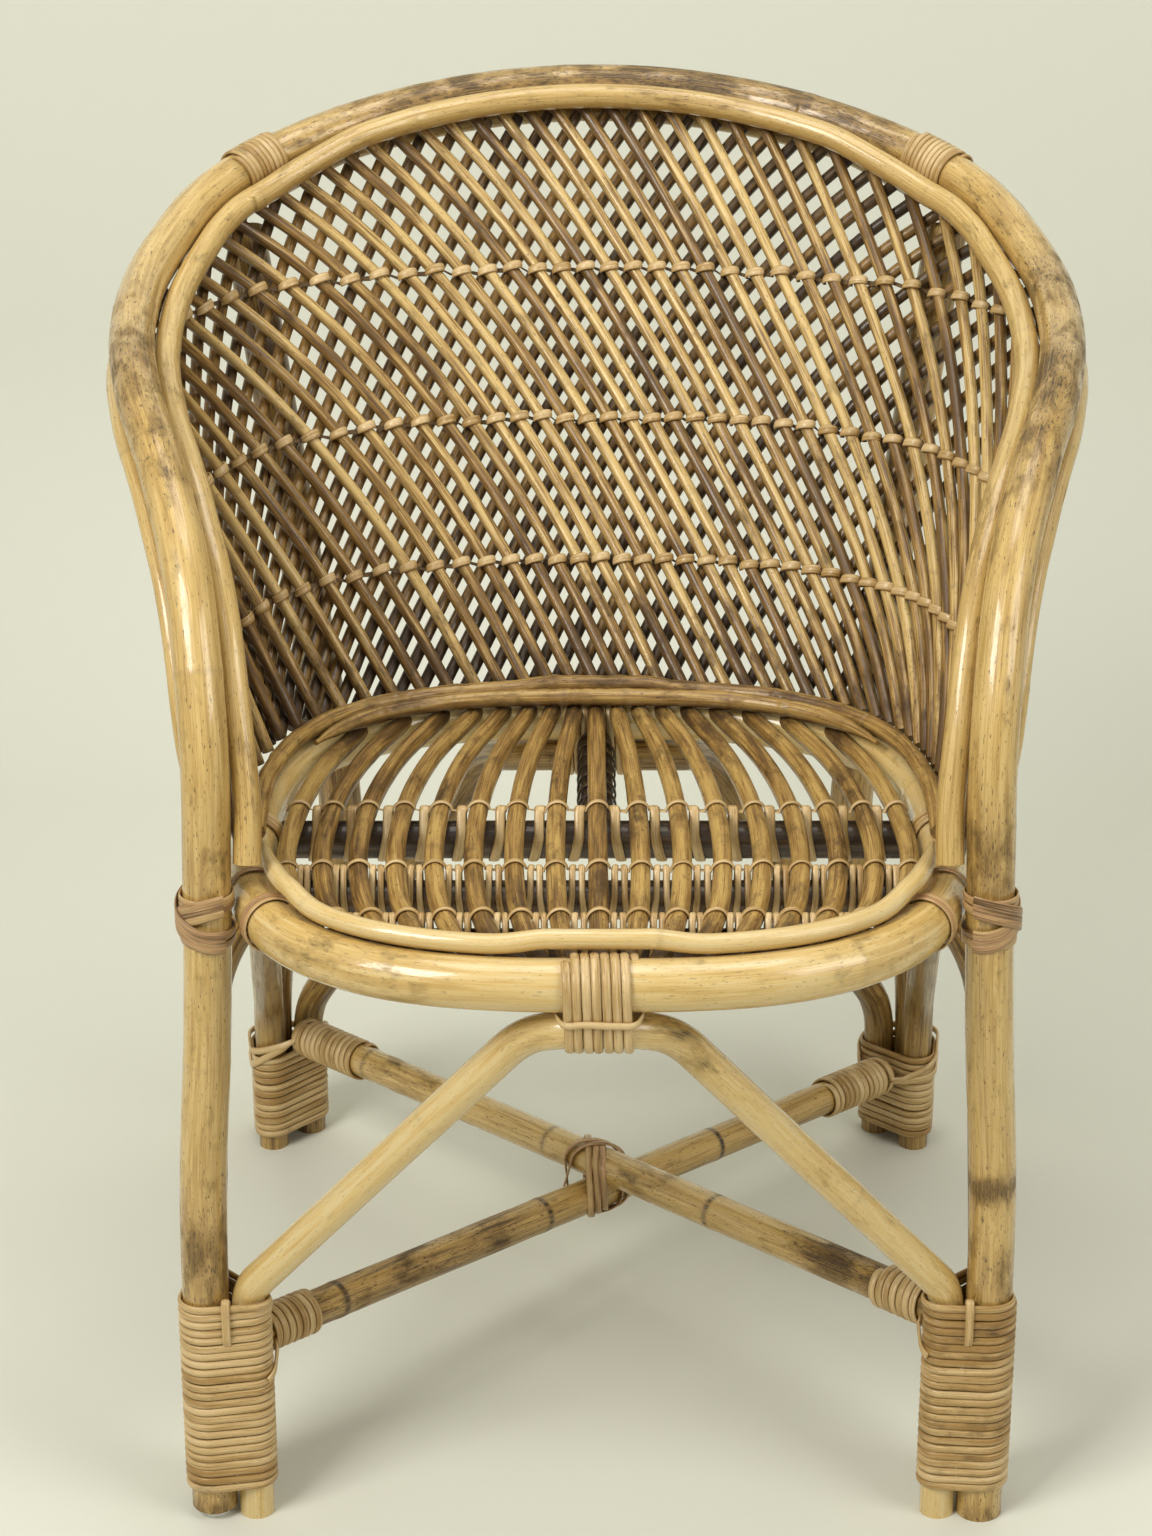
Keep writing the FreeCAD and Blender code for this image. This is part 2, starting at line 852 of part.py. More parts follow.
def order_round(sections):
    """Sections in order anticlockwise about their middle."""
    middle_x = sum(section[0] for section in sections) / len(sections)
    middle_y = sum(section[1] for section in sections) / len(sections)
    return sorted(sections, key=lambda section: math.atan2(section[1] - middle_y, section[0] - middle_x))


def foot_wrap(bundle, leg_radius, start, turns, knee_height, knee_radius, top):
    """Winding round the three poles of a foot, which follows the knee of the inner arch."""
    leg, inner, beside = bundle
    across = unit(Vector(top.x - inner.x, top.y - inner.y, 0))

    def sections_at(distance):
        above = max(0.0, start + distance + cane_diameter - knee_height)
        lean = knee_radius - math.sqrt(knee_radius ** 2 - above ** 2)
        bent = inner + across * lean
        return order_round([circle_at(leg, leg_radius), circle_at(bent, arch_radius + lean / 4),
                            circle_at(beside, arch_radius)])

    frame = straight_frame(UP * start, Vector(1, 0, 0), Vector(0, 1, 0), UP)
    return winding(frame, sections_at, cane_diameter, cane_pitch, turns)


def frame_along(origin, axis, hint):
    """Right handed frame whose third axis runs along a pole."""
    axis = unit(axis)
    first = unit(hint - axis * hint.dot(axis))
    return straight_frame(origin, first, axis.cross(first), axis)


def pole_wrap(origin, axis, radius, wire, pitch, turns):
    """Winding round one straight stretch of pole."""
    frame = frame_along(origin, axis, UP)
    return winding(frame, lambda distance: [(0, 0, radius, radius)], wire, pitch, turns)


def stretcher_wraps():
    """Four windings on the stretchers, one beside each foot."""
    wraps = []
    for front, rear in (upper_stretcher_ends(), lower_stretcher_ends()):
        axis = unit(rear - front)
        for name, origin, heading in (("front", front, axis), ("rear", rear, axis * -1)):
            start = origin + heading * (2 * cane_diameter)
            turns = stretcher_wrap_turns[name]
            wraps.append(pole_wrap(start, heading, stretcher_radius, cane_diameter, cane_pitch, turns))
    return Part.makeCompound(wraps)


def hoop_wraps():
    """Two windings on the hoop over the rear legs."""
    wraps = []
    half = band_pitch * hoop_wrap_turns / 2

    def frame_at(side, distance):
        share = side * hoop_wrap_place + (distance - half) / RIM_LENGTH
        along = rim_direction(share)
        first = unit(UP - along * UP.dot(along))
        return rim_at(share), first, along.cross(first), along

    for side in (-1, 1):
        wraps.append(winding(lambda distance: frame_at(side, distance),
                             lambda distance: [(0, 0, hoop_radius, hoop_radius)],
                             band_diameter, band_pitch, hoop_wrap_turns))
    return Part.makeCompound(wraps)


def arch_lashing(angle, turns, half_flat, top_radius, swing):
    """Winding that ties an arch to the ring and follows the arch down and inward beside its flat."""
    along = ring_direction(angle)
    half = arch_lashing_pitch * turns / 2
    frame = straight_frame(ring_axis(angle) - along * half, UP, along.cross(UP), along)
    drop = ring_radius + arch_radius + gap

    def sections_at(distance):
        beyond = max(0.0, abs(distance - half) + lashing_diameter - half_flat)
        bend = top_radius * lashed_bend_share
        sag = bend - math.sqrt(bend ** 2 - beyond ** 2)
        bent_radius = arch_radius + sag / 3
        return [(0, 0, ring_radius, ring_radius), (-drop - sag, sag * swing, bent_radius, bent_radius)]

    return winding(frame, sections_at, lashing_diameter, arch_lashing_pitch, turns)


def cross_lashing(first, first_axis, first_radius, second, second_axis, second_radius):
    """Winding on the diagonal that ties two crossing poles."""
    between = unit(second - first)
    first_axis = unit(first_axis - between * first_axis.dot(between))
    second_axis = unit(second_axis - between * second_axis.dot(between))
    rise = unit(first_axis + second_axis)
    wind = between.cross(rise)
    half = lashing_pitch * cross_lashing_turns / 2
    spacing = (second - first).Length

    def sections_at(distance):
        sections = []
        for across, axis, radius in ((0, first_axis, first_radius), (spacing, second_axis, second_radius)):
            slant = axis.dot(rise) / axis.dot(wind)
            half_rise = radius / abs(axis.dot(wind)) + lashing_slack / 3
            sections.append((across, (distance - half) * slant, radius + lashing_slack, half_rise))
        return sections

    frame = straight_frame(first - wind * half, between, rise, wind)
    return winding(frame, sections_at, lashing_diameter, lashing_pitch, cross_lashing_turns)


def ring_lashing(side):
    """Lashing that ties the seat ring to a front leg."""
    leg = leg_at_ring()
    leg = leg if side > 0 else mirrored(leg)
    angle = side * leg_angle
    return cross_lashing(leg, UP, hoop_radius, ring_axis(angle), ring_direction(angle) * side, ring_radius)


def stretcher_lashing():
    """Lashing where the two stretchers cross."""
    upper = upper_stretcher_ends()
    lower = lower_stretcher_ends()
    upper_axis = unit(upper[1] - upper[0])
    lower_axis = unit(lower[1] - lower[0])
    over = upper[0] + upper_axis * (-upper[0].x / upper_axis.x)
    under = lower[0] + lower_axis * (-lower[0].x / lower_axis.x)
    return cross_lashing(over, upper_axis, stretcher_radius, under, lower_axis, stretcher_radius)


def spine_wrap():
    """Open winding round the spine."""
    back, front = spine_ends()
    axis = unit(front - back)
    start = back + axis * (2 * lashing_diameter)
    return pole_wrap(start, axis, spine_radius, lashing_diameter, spine_wrap_pitch, spine_wrap_turns)


def foot_glide():
    """Plastic glide under the left front leg."""
    return Part.makeCylinder(glide_diameter / 2, glide_height, front_foot(-1))


def frame_parts():
    """Poles of the frame by name."""
    arches = {}
    front_left, front_right = front_bundle(-1), front_bundle(1)
    rear_left, rear_right = rear_bundle(-1), rear_bundle(1)
    back = Vector(0, 1, 0)
    across = Vector(1, 0, 0)
    front_knee, side_knee, rear_knee = front_arch_knee_height, side_arch_knee_height, rear_arch_knee_height
    front_bends = (front_arch_knee_radius, front_arch_top_radius)
    bends = (arch_knee_radius, arch_top_radius)
    side_flat = lashed_flat(side_lashing_turns)
    arches["arch_front"] = arch(front_left[1], front_knee, front_right[1], front_knee,
                                arch_top(180), across, front_arch_half_flat, front_bends)
    arches["arch_back"] = arch(rear_left[1], rear_knee, rear_right[1], rear_knee,
                               arch_top(0), across, lashed_flat(arch_lashing_turns), bends)
    arches["arch_left"] = arch(front_left[2], side_knee, rear_left[2], rear_knee,
                               arch_top(-90), back, side_flat, bends)
    arches["arch_right"] = arch(front_right[2], side_knee, rear_right[2], rear_knee,
                                arch_top(90), back, side_flat, bends)
    parts = {
        "hoop_main": hoop(),
        "hoop_inner_lining": lining(inner_lining_diameter, -1),
        "hoop_outer_lining": lining(outer_lining_diameter, 1),
        "rear_leg_left": rear_leg(-1),
        "rear_leg_right": rear_leg(1),
        "stretcher_upper": stretcher(upper_stretcher_ends()),
        "stretcher_lower": stretcher(lower_stretcher_ends()),
        "foot_glide": foot_glide(),
    }
    parts.update(arches)
    return parts


def seat_parts():
    """Ring, rails, slats, bearers and their bindings by name."""
    lashed = ring_radius + lashing_room + gap
    keep_outs = [ring_keep_out(ring_radius + gap, 0.5, 359.5)]
    keep_outs += [ring_keep_out(lashed, angle - 11, angle + 11) for angle in (0, 180)]
    slack = lashed + lashing_slack + gap
    keep_outs += [ring_keep_out(slack, angle - 12, angle + 12) for angle in (leg_angle, -leg_angle)]
    upper_rise = rise_on_ring(back_rail_diameter, rail_inward)
    cap_rise = rise_on_ring(cap_diameter, cap_inward)
    lower_inward, lower_rise = lower_rail_place()
    parts = {
        "seat_ring": seat_ring(),
        "seat_back_rail_upper": beside_ring(back_rail_diameter, rail_inward, upper_rise,
                                            -upper_rail_half_angle, upper_rail_half_angle, 34),
        "seat_back_rail_lower": beside_ring(back_rail_diameter, lower_inward, lower_rise,
                                            -lower_rail_half_angle, lower_rail_half_angle, 16),
        "seat_front_cap": beside_ring(cap_diameter, cap_inward, cap_rise,
                                      cap_first_angle, 360 - cap_first_angle, 26),
        "centre_spine": spine(),
        "centre_spine_wrap": spine_wrap(),
    }
    for name, y in bearer_positions.items():
        parts["bearer_" + name] = bearer(y, keep_outs)
        parts["seat_binding_" + name] = seat_binding(name)
    for rank in seat_ranks():
        parts["seat_slat_%02d" % (rank + slat_count // 2 + 1)] = slat(rank, keep_outs)
    return parts


def lattice_parts():
    """Rods and bindings of the back by name."""
    parts = {
        "back_rods_inner": rod_layer(rod_lean, -1),
        "back_rods_outer": rod_layer(-rod_lean, 1),
    }
    for name, level in back_binding_levels.items():
        parts["back_binding_" + name] = back_binding(ring_height + level * (hoop_top_height - ring_height))
    return parts


def winding_parts():
    """Cane wraps and lashings by name."""
    parts = {
        "stretcher_wraps": stretcher_wraps(),
        "hoop_wraps": hoop_wraps(),
        "stretcher_cross_lashing": stretcher_lashing(),
    }
    side_flat, back_flat = lashed_flat(side_lashing_turns), lashed_flat(arch_lashing_turns)
    front = arch_top(180) - front_bundle(1)[1]
    swing = front.y / front.x
    for name, angle, turns, half_flat, bend, turned in (
            ("front", 180, arch_lashing_turns, front_arch_half_flat, front_arch_top_radius, swing),
            ("back", 0, arch_lashing_turns, back_flat, arch_top_radius, 0.0),
            ("left", -90, side_lashing_turns, side_flat, arch_top_radius, 0.0),
            ("right", 90, side_lashing_turns, side_flat, arch_top_radius, 0.0)):
        parts["arch_lashing_" + name] = arch_lashing(angle, turns, half_flat, bend, turned)
    for name, side in (("left", -1), ("right", 1)):
        parts["ring_lashing_" + name] = ring_lashing(side)
        parts["foot_wrap_front_" + name] = foot_wrap(
            front_bundle(side), hoop_radius, front_wrap_start, front_wrap_turns,
            front_arch_knee_height, front_arch_knee_radius, arch_top(180))
        parts["foot_wrap_rear_" + name] = foot_wrap(
            rear_bundle(side), rear_leg_radius, rear_wrap_start, rear_wrap_turns,
            rear_arch_knee_height, arch_knee_radius, arch_top(0))
    return parts


def main():
    """Builds every piece and writes one file for each."""
    os.makedirs("parts", exist_ok=True)
    for group in (frame_parts(), seat_parts(), lattice_parts(), winding_parts()):
        for name, shape in group.items():
            shape.exportStep("parts/%s.step" % name)
            print("%-26s solids %d valid %s volume %.0f" % (
                name, len(shape.Solids), shape.isValid(), shape.Volume))


main()
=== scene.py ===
import math

import bpy
import numpy as np
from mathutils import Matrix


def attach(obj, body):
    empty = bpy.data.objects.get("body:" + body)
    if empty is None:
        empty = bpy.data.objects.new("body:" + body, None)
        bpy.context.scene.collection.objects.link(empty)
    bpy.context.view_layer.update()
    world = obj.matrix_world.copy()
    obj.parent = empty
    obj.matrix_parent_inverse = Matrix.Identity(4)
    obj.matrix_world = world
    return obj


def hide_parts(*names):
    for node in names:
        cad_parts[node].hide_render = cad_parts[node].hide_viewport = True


bl_info = {
    "name": "Rattan tub armchair",
    "version": (1, 0, 0),
    "blender": (4, 5, 0),
    "location": "View3D > Sidebar > Rattan",
    "description": "Builds the poles, lattice, seat and cane windings of a rattan tub armchair",
    "category": "Object",
}

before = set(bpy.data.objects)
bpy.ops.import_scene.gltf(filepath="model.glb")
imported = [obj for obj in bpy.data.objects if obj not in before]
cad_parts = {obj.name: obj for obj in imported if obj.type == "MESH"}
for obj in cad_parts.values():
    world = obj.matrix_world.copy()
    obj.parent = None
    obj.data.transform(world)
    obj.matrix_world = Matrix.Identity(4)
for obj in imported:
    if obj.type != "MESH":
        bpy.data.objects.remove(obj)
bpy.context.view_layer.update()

# Lengths below are millimetres unless a name says otherwise. Angles are degrees from the back, to the right.
MM = 0.001
UP = np.array((0.0, 0.0, 1.0))
ACROSS = np.array((1.0, 0.0, 0.0))
REARWARD = np.array((0.0, 1.0, 0.0))

GAP = 0.3
LAYER_GAP = 0.6
RING_RADIUS = 15.5
RING_HALF_WIDTH = 207.0
RING_HALF_DEPTH = 202.0
RING_CENTRE_Y = -124.0
RING_HEIGHT = 405.0
RING_SQUARENESS = 2.8
HOOP_RADIUS = 14.5
LEG_ANGLE = 117.0
FOOT_HALF_SPACING = 236.0
HOOP_BACK_Y = 330.0
HOOP_TOP = 771.0
ARM_HALF_WIDTH = 287.1
HOOP_COURSE = (
    (-0.004, 0.0251, 0.3172), (0.162, 0.1029, 0.5128), (0.447, 0.2004, 0.6287), (0.773, 0.3208, 0.6995),
    (1.00, 0.4927, 0.7486), (0.931, 0.6440, 0.7940), (0.242, 0.8308, 0.8842), (-0.738, 0.9160, 0.9399),
)
INNER_LINING = 17.0
OUTER_LINING = 11.0
LINING_REACH = 0.965
RIM_PARTS = 400
ROD_RADIUS = 4.1
ROD_OFFSET = 4.55
RODS_PER_LAYER = 60
SHORTEST_ROD = 75.0
ROD_LEAN = 0.27
FOOT_CROWDING = 0.9
RIM_CROWDING = 0.56
BACK_BINDING_HEIGHTS = {"lower": 495.0, "middle": 575.9, "upper": 663.0}
LATTICE_HALF_THICKNESS = ROD_OFFSET + ROD_RADIUS
LATTICE_SET_OUT = 10.95
LATTICE_RISE = 18.5
REAR_LEG_RADIUS = 14.5
REAR_FOOT_X = 238.0
REAR_FOOT_Y = 265.0
REAR_LEG_ANGLE = 43.0
REAR_LEG_PLACE = 0.43
CAP_RADIUS = 6.0
CAP_INWARD = 7.9
CAP_FIRST_ANGLE = 106.0
RAIL_RADIUS = 6.0
UPPER_RAIL_INWARD = 4.0
UPPER_RAIL_ANGLE = 102.0
LOWER_RAIL_OFFSET = (16.55, 20.3)
LOWER_RAIL_ANGLE = 60.0
SLAT_RADIUS = 6.0
SLAT_HEIGHT = 413.0
SLAT_HALF_COUNT = 8
SLAT_MIDDLE_Y = -140.0
# Spacing of the slats: an even part, and what it gains (at the middle: loses) towards the flanks.
SLAT_BACK_SPACING = (13.6, 0.085)
SLAT_MIDDLE_SPACING = (25.4, 0.305)
SLAT_FRONT_SPACING = (15.5, 0.07)
BEARER_RADIUS = 12.0
BEARER_HEIGHT = 394.7
BEARERS = {"rear": -101.0, "middle": -190.0, "front": -257.0}
SPINE_RADIUS = 11.0
ARCH_RADIUS = 11.0
FRONT_KNEE = 146.0
SIDE_KNEE = 165.0
REAR_KNEE = 80.0
FRONT_BENDS = (30.0, 70.0)
BENDS = (65.0, 110.0)
FRONT_HALF_FLAT = 4.0
STRETCHER_RADIUS = 12.0
UPPER_STRETCHER = (1, 127.0, 90.0)
LOWER_STRETCHER = (-1, 110.0, 58.0)
FRONT_WRAP_START = 21.0
REAR_WRAP_START = 10.0
WRAP_PITCH = 5.5
FRONT_WRAP_TURNS = 24
REAR_WRAP_TURNS = 12
HOOP_WRAP_PLACE = 0.27
HOOP_WRAP_TURNS = 9
HOOP_WRAP_PITCH = 4.0
HOOP_WRAP_STAND_OFF = 1.3
HOOP_WRAP_STRIP = (3.9 * MM, 2.2 * MM)
STRETCHER_WRAP_START = 8.8
STRETCHER_WRAP_TURNS = (7, 11)
SPINE_WRAP_START = 4.8
SPINE_WRAP_PITCH = 17.0
SPINE_WRAP_TURNS = 7
LONG_LASHING = 7
SHORT_LASHING = 3
CROSS_PITCH = 4.6
WINDING_STEP = 3.0
LOOP_STEP = 2.5
TUCKED_LENGTH = 12.0
GLIDE_HEIGHT = 5.5
BAND_ROOM = 3.6
LASHING_ROOM = 3.6
TIE_STAND_OFF = 0.9
LEG_TO_LATTICE = 0.9
LEG_TO_RING = 2.2
STRETCHER_END_GAP = 6.4
LASHED_BEND_SHARE = 0.64
ROD_PARTS = 8


def unit(vector):
    """Copy of a vector with length one."""
    return vector / np.linalg.norm(vector, axis=-1, keepdims=True)


def place(x, y, z):
    """Point as an array."""
    return np.array((x, y, z), float)


def mirrored(point):
    """The same point on the other side of the chair."""
    return point * np.array((-1.0, 1.0, 1.0))


def window(distance, half_width):
    """Smooth bump that is one at zero and falls to zero at the half width."""
    if abs(distance) >= half_width:
        return 0.0
    return math.cos(math.pi / 2 * distance / half_width) ** 2


def halved(low, high, steps, holds):
    """Last place between two ends where a test still holds, found by halving."""
    for _ in range(steps):
        middle = (low + high) / 2
        low, high = (middle, high) if holds(middle) else (low, middle)
    return low


def stations_through(points, first=None, last=None):
    """Points with directions that follow the neighbours."""
    result = []
    for index, point in enumerate(points):
        if index == 0:
            direction = unit(points[1] - point) if first is None else first
        elif index == len(points) - 1:
            direction = unit(point - points[-2]) if last is None else last
        else:
            back = point - points[index - 1]
            ahead = points[index + 1] - point
            ratio = np.linalg.norm(ahead) / np.linalg.norm(back)
            direction = unit(back * ratio + ahead / ratio)
        result.append((point, direction))
    return result


def course(stations, step=4.0):
    """Line of smooth arcs through stations, two arcs between each pair, as rows of points."""
    rows = [stations[0][0][None, :]]
    for (start, start_way), (end, end_way) in zip(stations, stations[1:]):
        chord = end - start
        slack = chord @ (start_way + end_way)
        apart = 2 * (1 - start_way @ end_way)
        if apart < 1e-9:
            reach = chord @ chord / (2 * slack)
        else:
            reach = (math.sqrt(slack * slack + apart * (chord @ chord)) - slack) / apart
        first, last = start + start_way * reach, end - end_way * reach
        joint, bend = (first + last) / 2, unit(last - first)
        t = np.linspace(0, 1, max(2, math.ceil(np.linalg.norm(chord) / 2 / step)) + 1)[1:, None]
        for low, corner, high, way in ((start, first, joint, start_way), (joint, last, end, end_way)):
            pull = 2 * math.sqrt(max((1 + way @ bend) / 2, 0.0)) * t * (1 - t)
            rows.append(((1 - t) ** 2 * low + pull * corner + t ** 2 * high) / ((1 - t) ** 2 + pull + t ** 2))
    return np.vstack(rows)


def run_lengths(points):
    """Length along a line at each of its points."""
    steps = np.linalg.norm(np.diff(points, axis=0), axis=1)
    return np.concatenate(([0.0], np.cumsum(steps)))


def at_lengths(points, lengths, marks):
    """Rows of a line at given lengths along it."""
    return np.stack([np.interp(marks, lengths, points[:, axis]) for axis in range(points.shape[1])], 1)


# Seat ring

def ring_axis(angle):
    """Seat ring axis at an angle."""
    across = math.sin(math.radians(angle))
    rearward = math.cos(math.radians(angle))
    total = (abs(across) / RING_HALF_WIDTH) ** RING_SQUARENESS
    total += (abs(rearward) / RING_HALF_DEPTH) ** RING_SQUARENESS
    reach = total ** (-1 / RING_SQUARENESS)
    return place(reach * across, RING_CENTRE_Y + reach * rearward, RING_HEIGHT)


def ring_direction(angle):
    """Direction of the ring towards growing angles."""
    return unit(ring_axis(angle + 0.1) - ring_axis(angle - 0.1))


def ring_outward(angle):
    """Level direction square to the ring, away from the seat."""
    return unit(np.cross(UP, ring_direction(angle)))


def on_ring(angle, inward, rise):
    """Point beside the ring, moved towards the seat and up."""
    return ring_axis(angle) - ring_outward(angle) * inward + UP * rise


def ring_angle_at(y):
    """Angle on the right half where the ring crosses a given Y."""
    return halved(0.0, 180.0, 40, lambda angle: ring_axis(angle)[1] > y)


def lashing_lift(angle):
    """Room that the lashings take on the seat ring."""
    turned = abs((angle + 180) % 360 - 180)
    nearest = min(abs(turned - spot) for spot in (0.0, 90.0, LEG_ANGLE, 180.0))
    return LASHING_ROOM * min(1.0, 2.2 * window(nearest, 18.0))


def beside_ring(radius, inward, rise, first, last, steps):
    """Line of a thin pole beside the ring that steps aside for the lashings."""
    points = []
    for angle in np.linspace(first, last, steps + 1):
        need = RING_RADIUS + radius + GAP + lashing_lift(angle)
        scale = max(1.0, need / math.hypot(inward, rise))
        points.append(on_ring(angle, inward * scale, rise * scale))
    return course(stations_through(points))


# Hoop

LEG = on_ring(LEG_ANGLE, -(RING_RADIUS + HOOP_RADIUS + GAP), 0)


def hoop_stations():
    """Stations of the right half of the hoop, from the back middle to the foot."""
    reach = place(ARM_HALF_WIDTH, HOOP_BACK_Y, HOOP_TOP) - LEG
    wrap_top = FRONT_WRAP_START + WRAP_PITCH * (FRONT_WRAP_TURNS + 1)
    points = [place(FOOT_HALF_SPACING, LEG[1], 0), place(FOOT_HALF_SPACING, LEG[1], wrap_top), LEG]
    points += [LEG + reach * np.array(shares) for shares in HOOP_COURSE]
    points.append(place(0, HOOP_BACK_Y, HOOP_TOP))
    stations = stations_through(points[::-1], ACROSS, -UP)
    stations[-2] = (stations[-2][0], -UP)
    return stations


HOOP_STATIONS = hoop_stations()
RIM_LINE = course(HOOP_STATIONS[:len(HOOP_COURSE) + 2], 2.0)
RIM_LENGTHS = run_lengths(RIM_LINE)
RIM_LENGTH = RIM_LENGTHS[-1]
RIM = at_lengths(RIM_LINE, RIM_LENGTHS, np.linspace(0, RIM_LENGTH, RIM_PARTS + 1))


def rim_at(share):
    """Hoop axis at a share of the way from the back middle to the seat."""
    spot = min(abs(share), 1.0) * RIM_PARTS
    index = min(int(spot), RIM_PARTS - 1)
    point = RIM[index] + (RIM[index + 1] - RIM[index]) * (spot - index)
    return point if share >= 0 else mirrored(point)


def rim_direction(share):
    """Direction of the hoop towards growing shares."""
    return unit(rim_at(min(share + 0.004, 1.0)) - rim_at(max(share - 0.004, -1.0)))


def wrap_lift(share):
    """Room that the cane wraps on the hoop take."""
    return BAND_ROOM * min(1.0, 1.6 * window(abs(share) - HOOP_WRAP_PLACE, 0.075))


# Back lattice

def rim_share(ruling):
    """Share of the hoop that a lattice ruling reaches."""
    return RIM_CROWDING * ruling + (1 - RIM_CROWDING) * ruling ** 3


def ruling_at(share):
    """Lattice ruling that reaches a share of the hoop."""
    return halved(-1.0, 1.0, 40, lambda ruling: rim_share(ruling) < share)


def lattice_foot(ruling):
    """Lower end of a lattice ruling, over the seat ring."""
    angle = LEG_ANGLE * (FOOT_CROWDING * ruling + (1 - FOOT_CROWDING) * ruling ** 3)
    return on_ring(angle, -LATTICE_SET_OUT, LATTICE_RISE)


def lattice_point(ruling, rise):
    """Middle surface of the lattice, from the ring at 0 to the hoop at 1."""
    foot = lattice_foot(ruling)
    return foot + (rim_at(rim_share(ruling)) - foot) * rise


def lattice_normal(ruling, rise):
    """Direction square to the lattice, away from the seat."""
    step = 0.01
    across = lattice_point(ruling + step, rise) - lattice_point(ruling - step, rise)
    along = lattice_point(ruling, rise + step) - lattice_point(ruling, rise - step)
    return unit(np.cross(along, across))


def rod_ruling(spot, lean, rise):
    """Ruling that a leaning rod crosses at a height."""
    ruling = spot + lean * math.cos(math.pi / 2 * spot) * (1 - 2 * rise)
    return max(-1.0, min(1.0, ruling))


def rod_axis(spot, lean, side, rise):
    """Axis of a rod in one layer of the lattice."""
    ruling = rod_ruling(spot, lean, rise)
    return lattice_point(ruling, rise) + lattice_normal(ruling, rise) * (side * ROD_OFFSET)


def rod_top(spot, lean, side):
    """Height share at which a rod stops under the hoop."""

    def is_clear(rise):
        room = HOOP_RADIUS + ROD_RADIUS + LAYER_GAP + wrap_lift(rim_share(rod_ruling(spot, lean, rise)))
        point = rod_axis(spot, lean, side, rise)
        near = np.abs(point) * np.array((1, 0, 0)) + point * np.array((0, 1, 1))
        return np.linalg.norm(RIM[::4] - near, axis=1).min() > room

    return halved(0.2, 1.0, 12, is_clear)


def rod_spots():
    """Even places of the rods of a layer, from left to right."""
    return [(2 * index + 1) / RODS_PER_LAYER - 1 for index in range(RODS_PER_LAYER)]


# Strands: the lines that the sweep turns into poles and cane

def turning_free(points):
    """Side directions that follow a line without twisting."""
    ways = unit(np.gradient(points, axis=0))
    start = np.cross(ways[0], REARWARD if abs(ways[0][1]) < 0.8 else ACROSS)
    sides = [unit(start)]
    for way in ways[1:]:
        side = sides[-1] - way * (way @ sides[-1])
        sides.append(unit(side))
    return np.array(sides)


def strand(points, size=1.0, tone=0.5, outward=None, joint=None, soil=0.0, closed=False):
    """One line with its size, colour shift, stains (on the back bindings also painted shade) and facing."""
    count = len(points)
    return {
        "points": points, "closed": closed,
        "size": np.broadcast_to(size, count), "tone": np.broadcast_to(tone, count),
        "outward": turning_free(points) if outward is None else outward,
        "joint": np.zeros(count) if joint is None else joint,
        "soil": np.broadcast_to(soil, count),
        "along": run_lengths(points) * MM,
    }


def soiling(points, stains):
    """Strength of the stains that lie near a line, each a place, a reach and a strength."""
    soil = np.zeros(len(points))
    for x, y, z, reach, strength in stains:
        distance = np.linalg.norm(points - place(x, y, z), axis=1)
        soil += strength * np.exp(-(distance / reach) ** 2)
    return soil


def rattan(points, radius, chance, spacing=(150.0, 290.0), step=5.0, swell=0.022, taper=0.0, stains=(),
           dirt=0.3, scars=0.0, tone=None, rings=0.25):
    """Pole strand with uneven ringed joints, a slightly uneven girth and stains."""
    lengths = run_lengths(points)
    total = lengths[-1]
    joints = []
    spot = chance.uniform(0.2, 1.0) * spacing[1]
    while spot < total - 12:
        joints.append(spot)
        spot += chance.uniform(*spacing)
    offsets = np.array((-9, -5, -3, -1.8, -0.9, 0, 0.9, 1.8, 3, 5, 9))
    marks = [np.linspace(0, total, max(8, int(total / step)) + 1)] + [spot + offsets for spot in joints]
    marks = np.unique(np.round(np.clip(np.concatenate(marks), 0, total), 1))
    marks[-1] = total
    points = at_lengths(points, lengths, marks)
    bulge = np.zeros(len(marks))
    ring = np.zeros(len(marks))
    for spot in joints:
        strength = chance.uniform(0.35, 1.0)
        bulge += strength * np.exp(-((marks - spot) / 4.5) ** 2)
        ring += strength * np.exp(-((marks - spot) / 2.0) ** 2)
    waves = sum(np.sin(marks / length + chance.uniform(0, 6)) for length in (17, 31, 58)) / 3
    chips = np.arange(0, total + 9, 4.5)
    rough = scars * np.abs(np.interp(marks, chips, chance.normal(0, 1, len(chips))))
    size = radius * (0.97 + swell * bulge + 0.008 * waves - rough) * MM
    if taper:
        size *= np.clip(np.minimum(marks, total - marks) / taper, 0.12, 1) ** 0.6
    drift = sum(np.sin(marks / length + chance.uniform(0, 6)) for length in (23, 47, 110)) / 3
    soil = dirt * np.clip(drift, 0, 1) + soiling(points, stains)
    tone = chance.uniform(0, 1) if tone is None else tone
    return strand(points, size, tone, joint=np.clip(ring * rings, 0, 1), soil=soil)


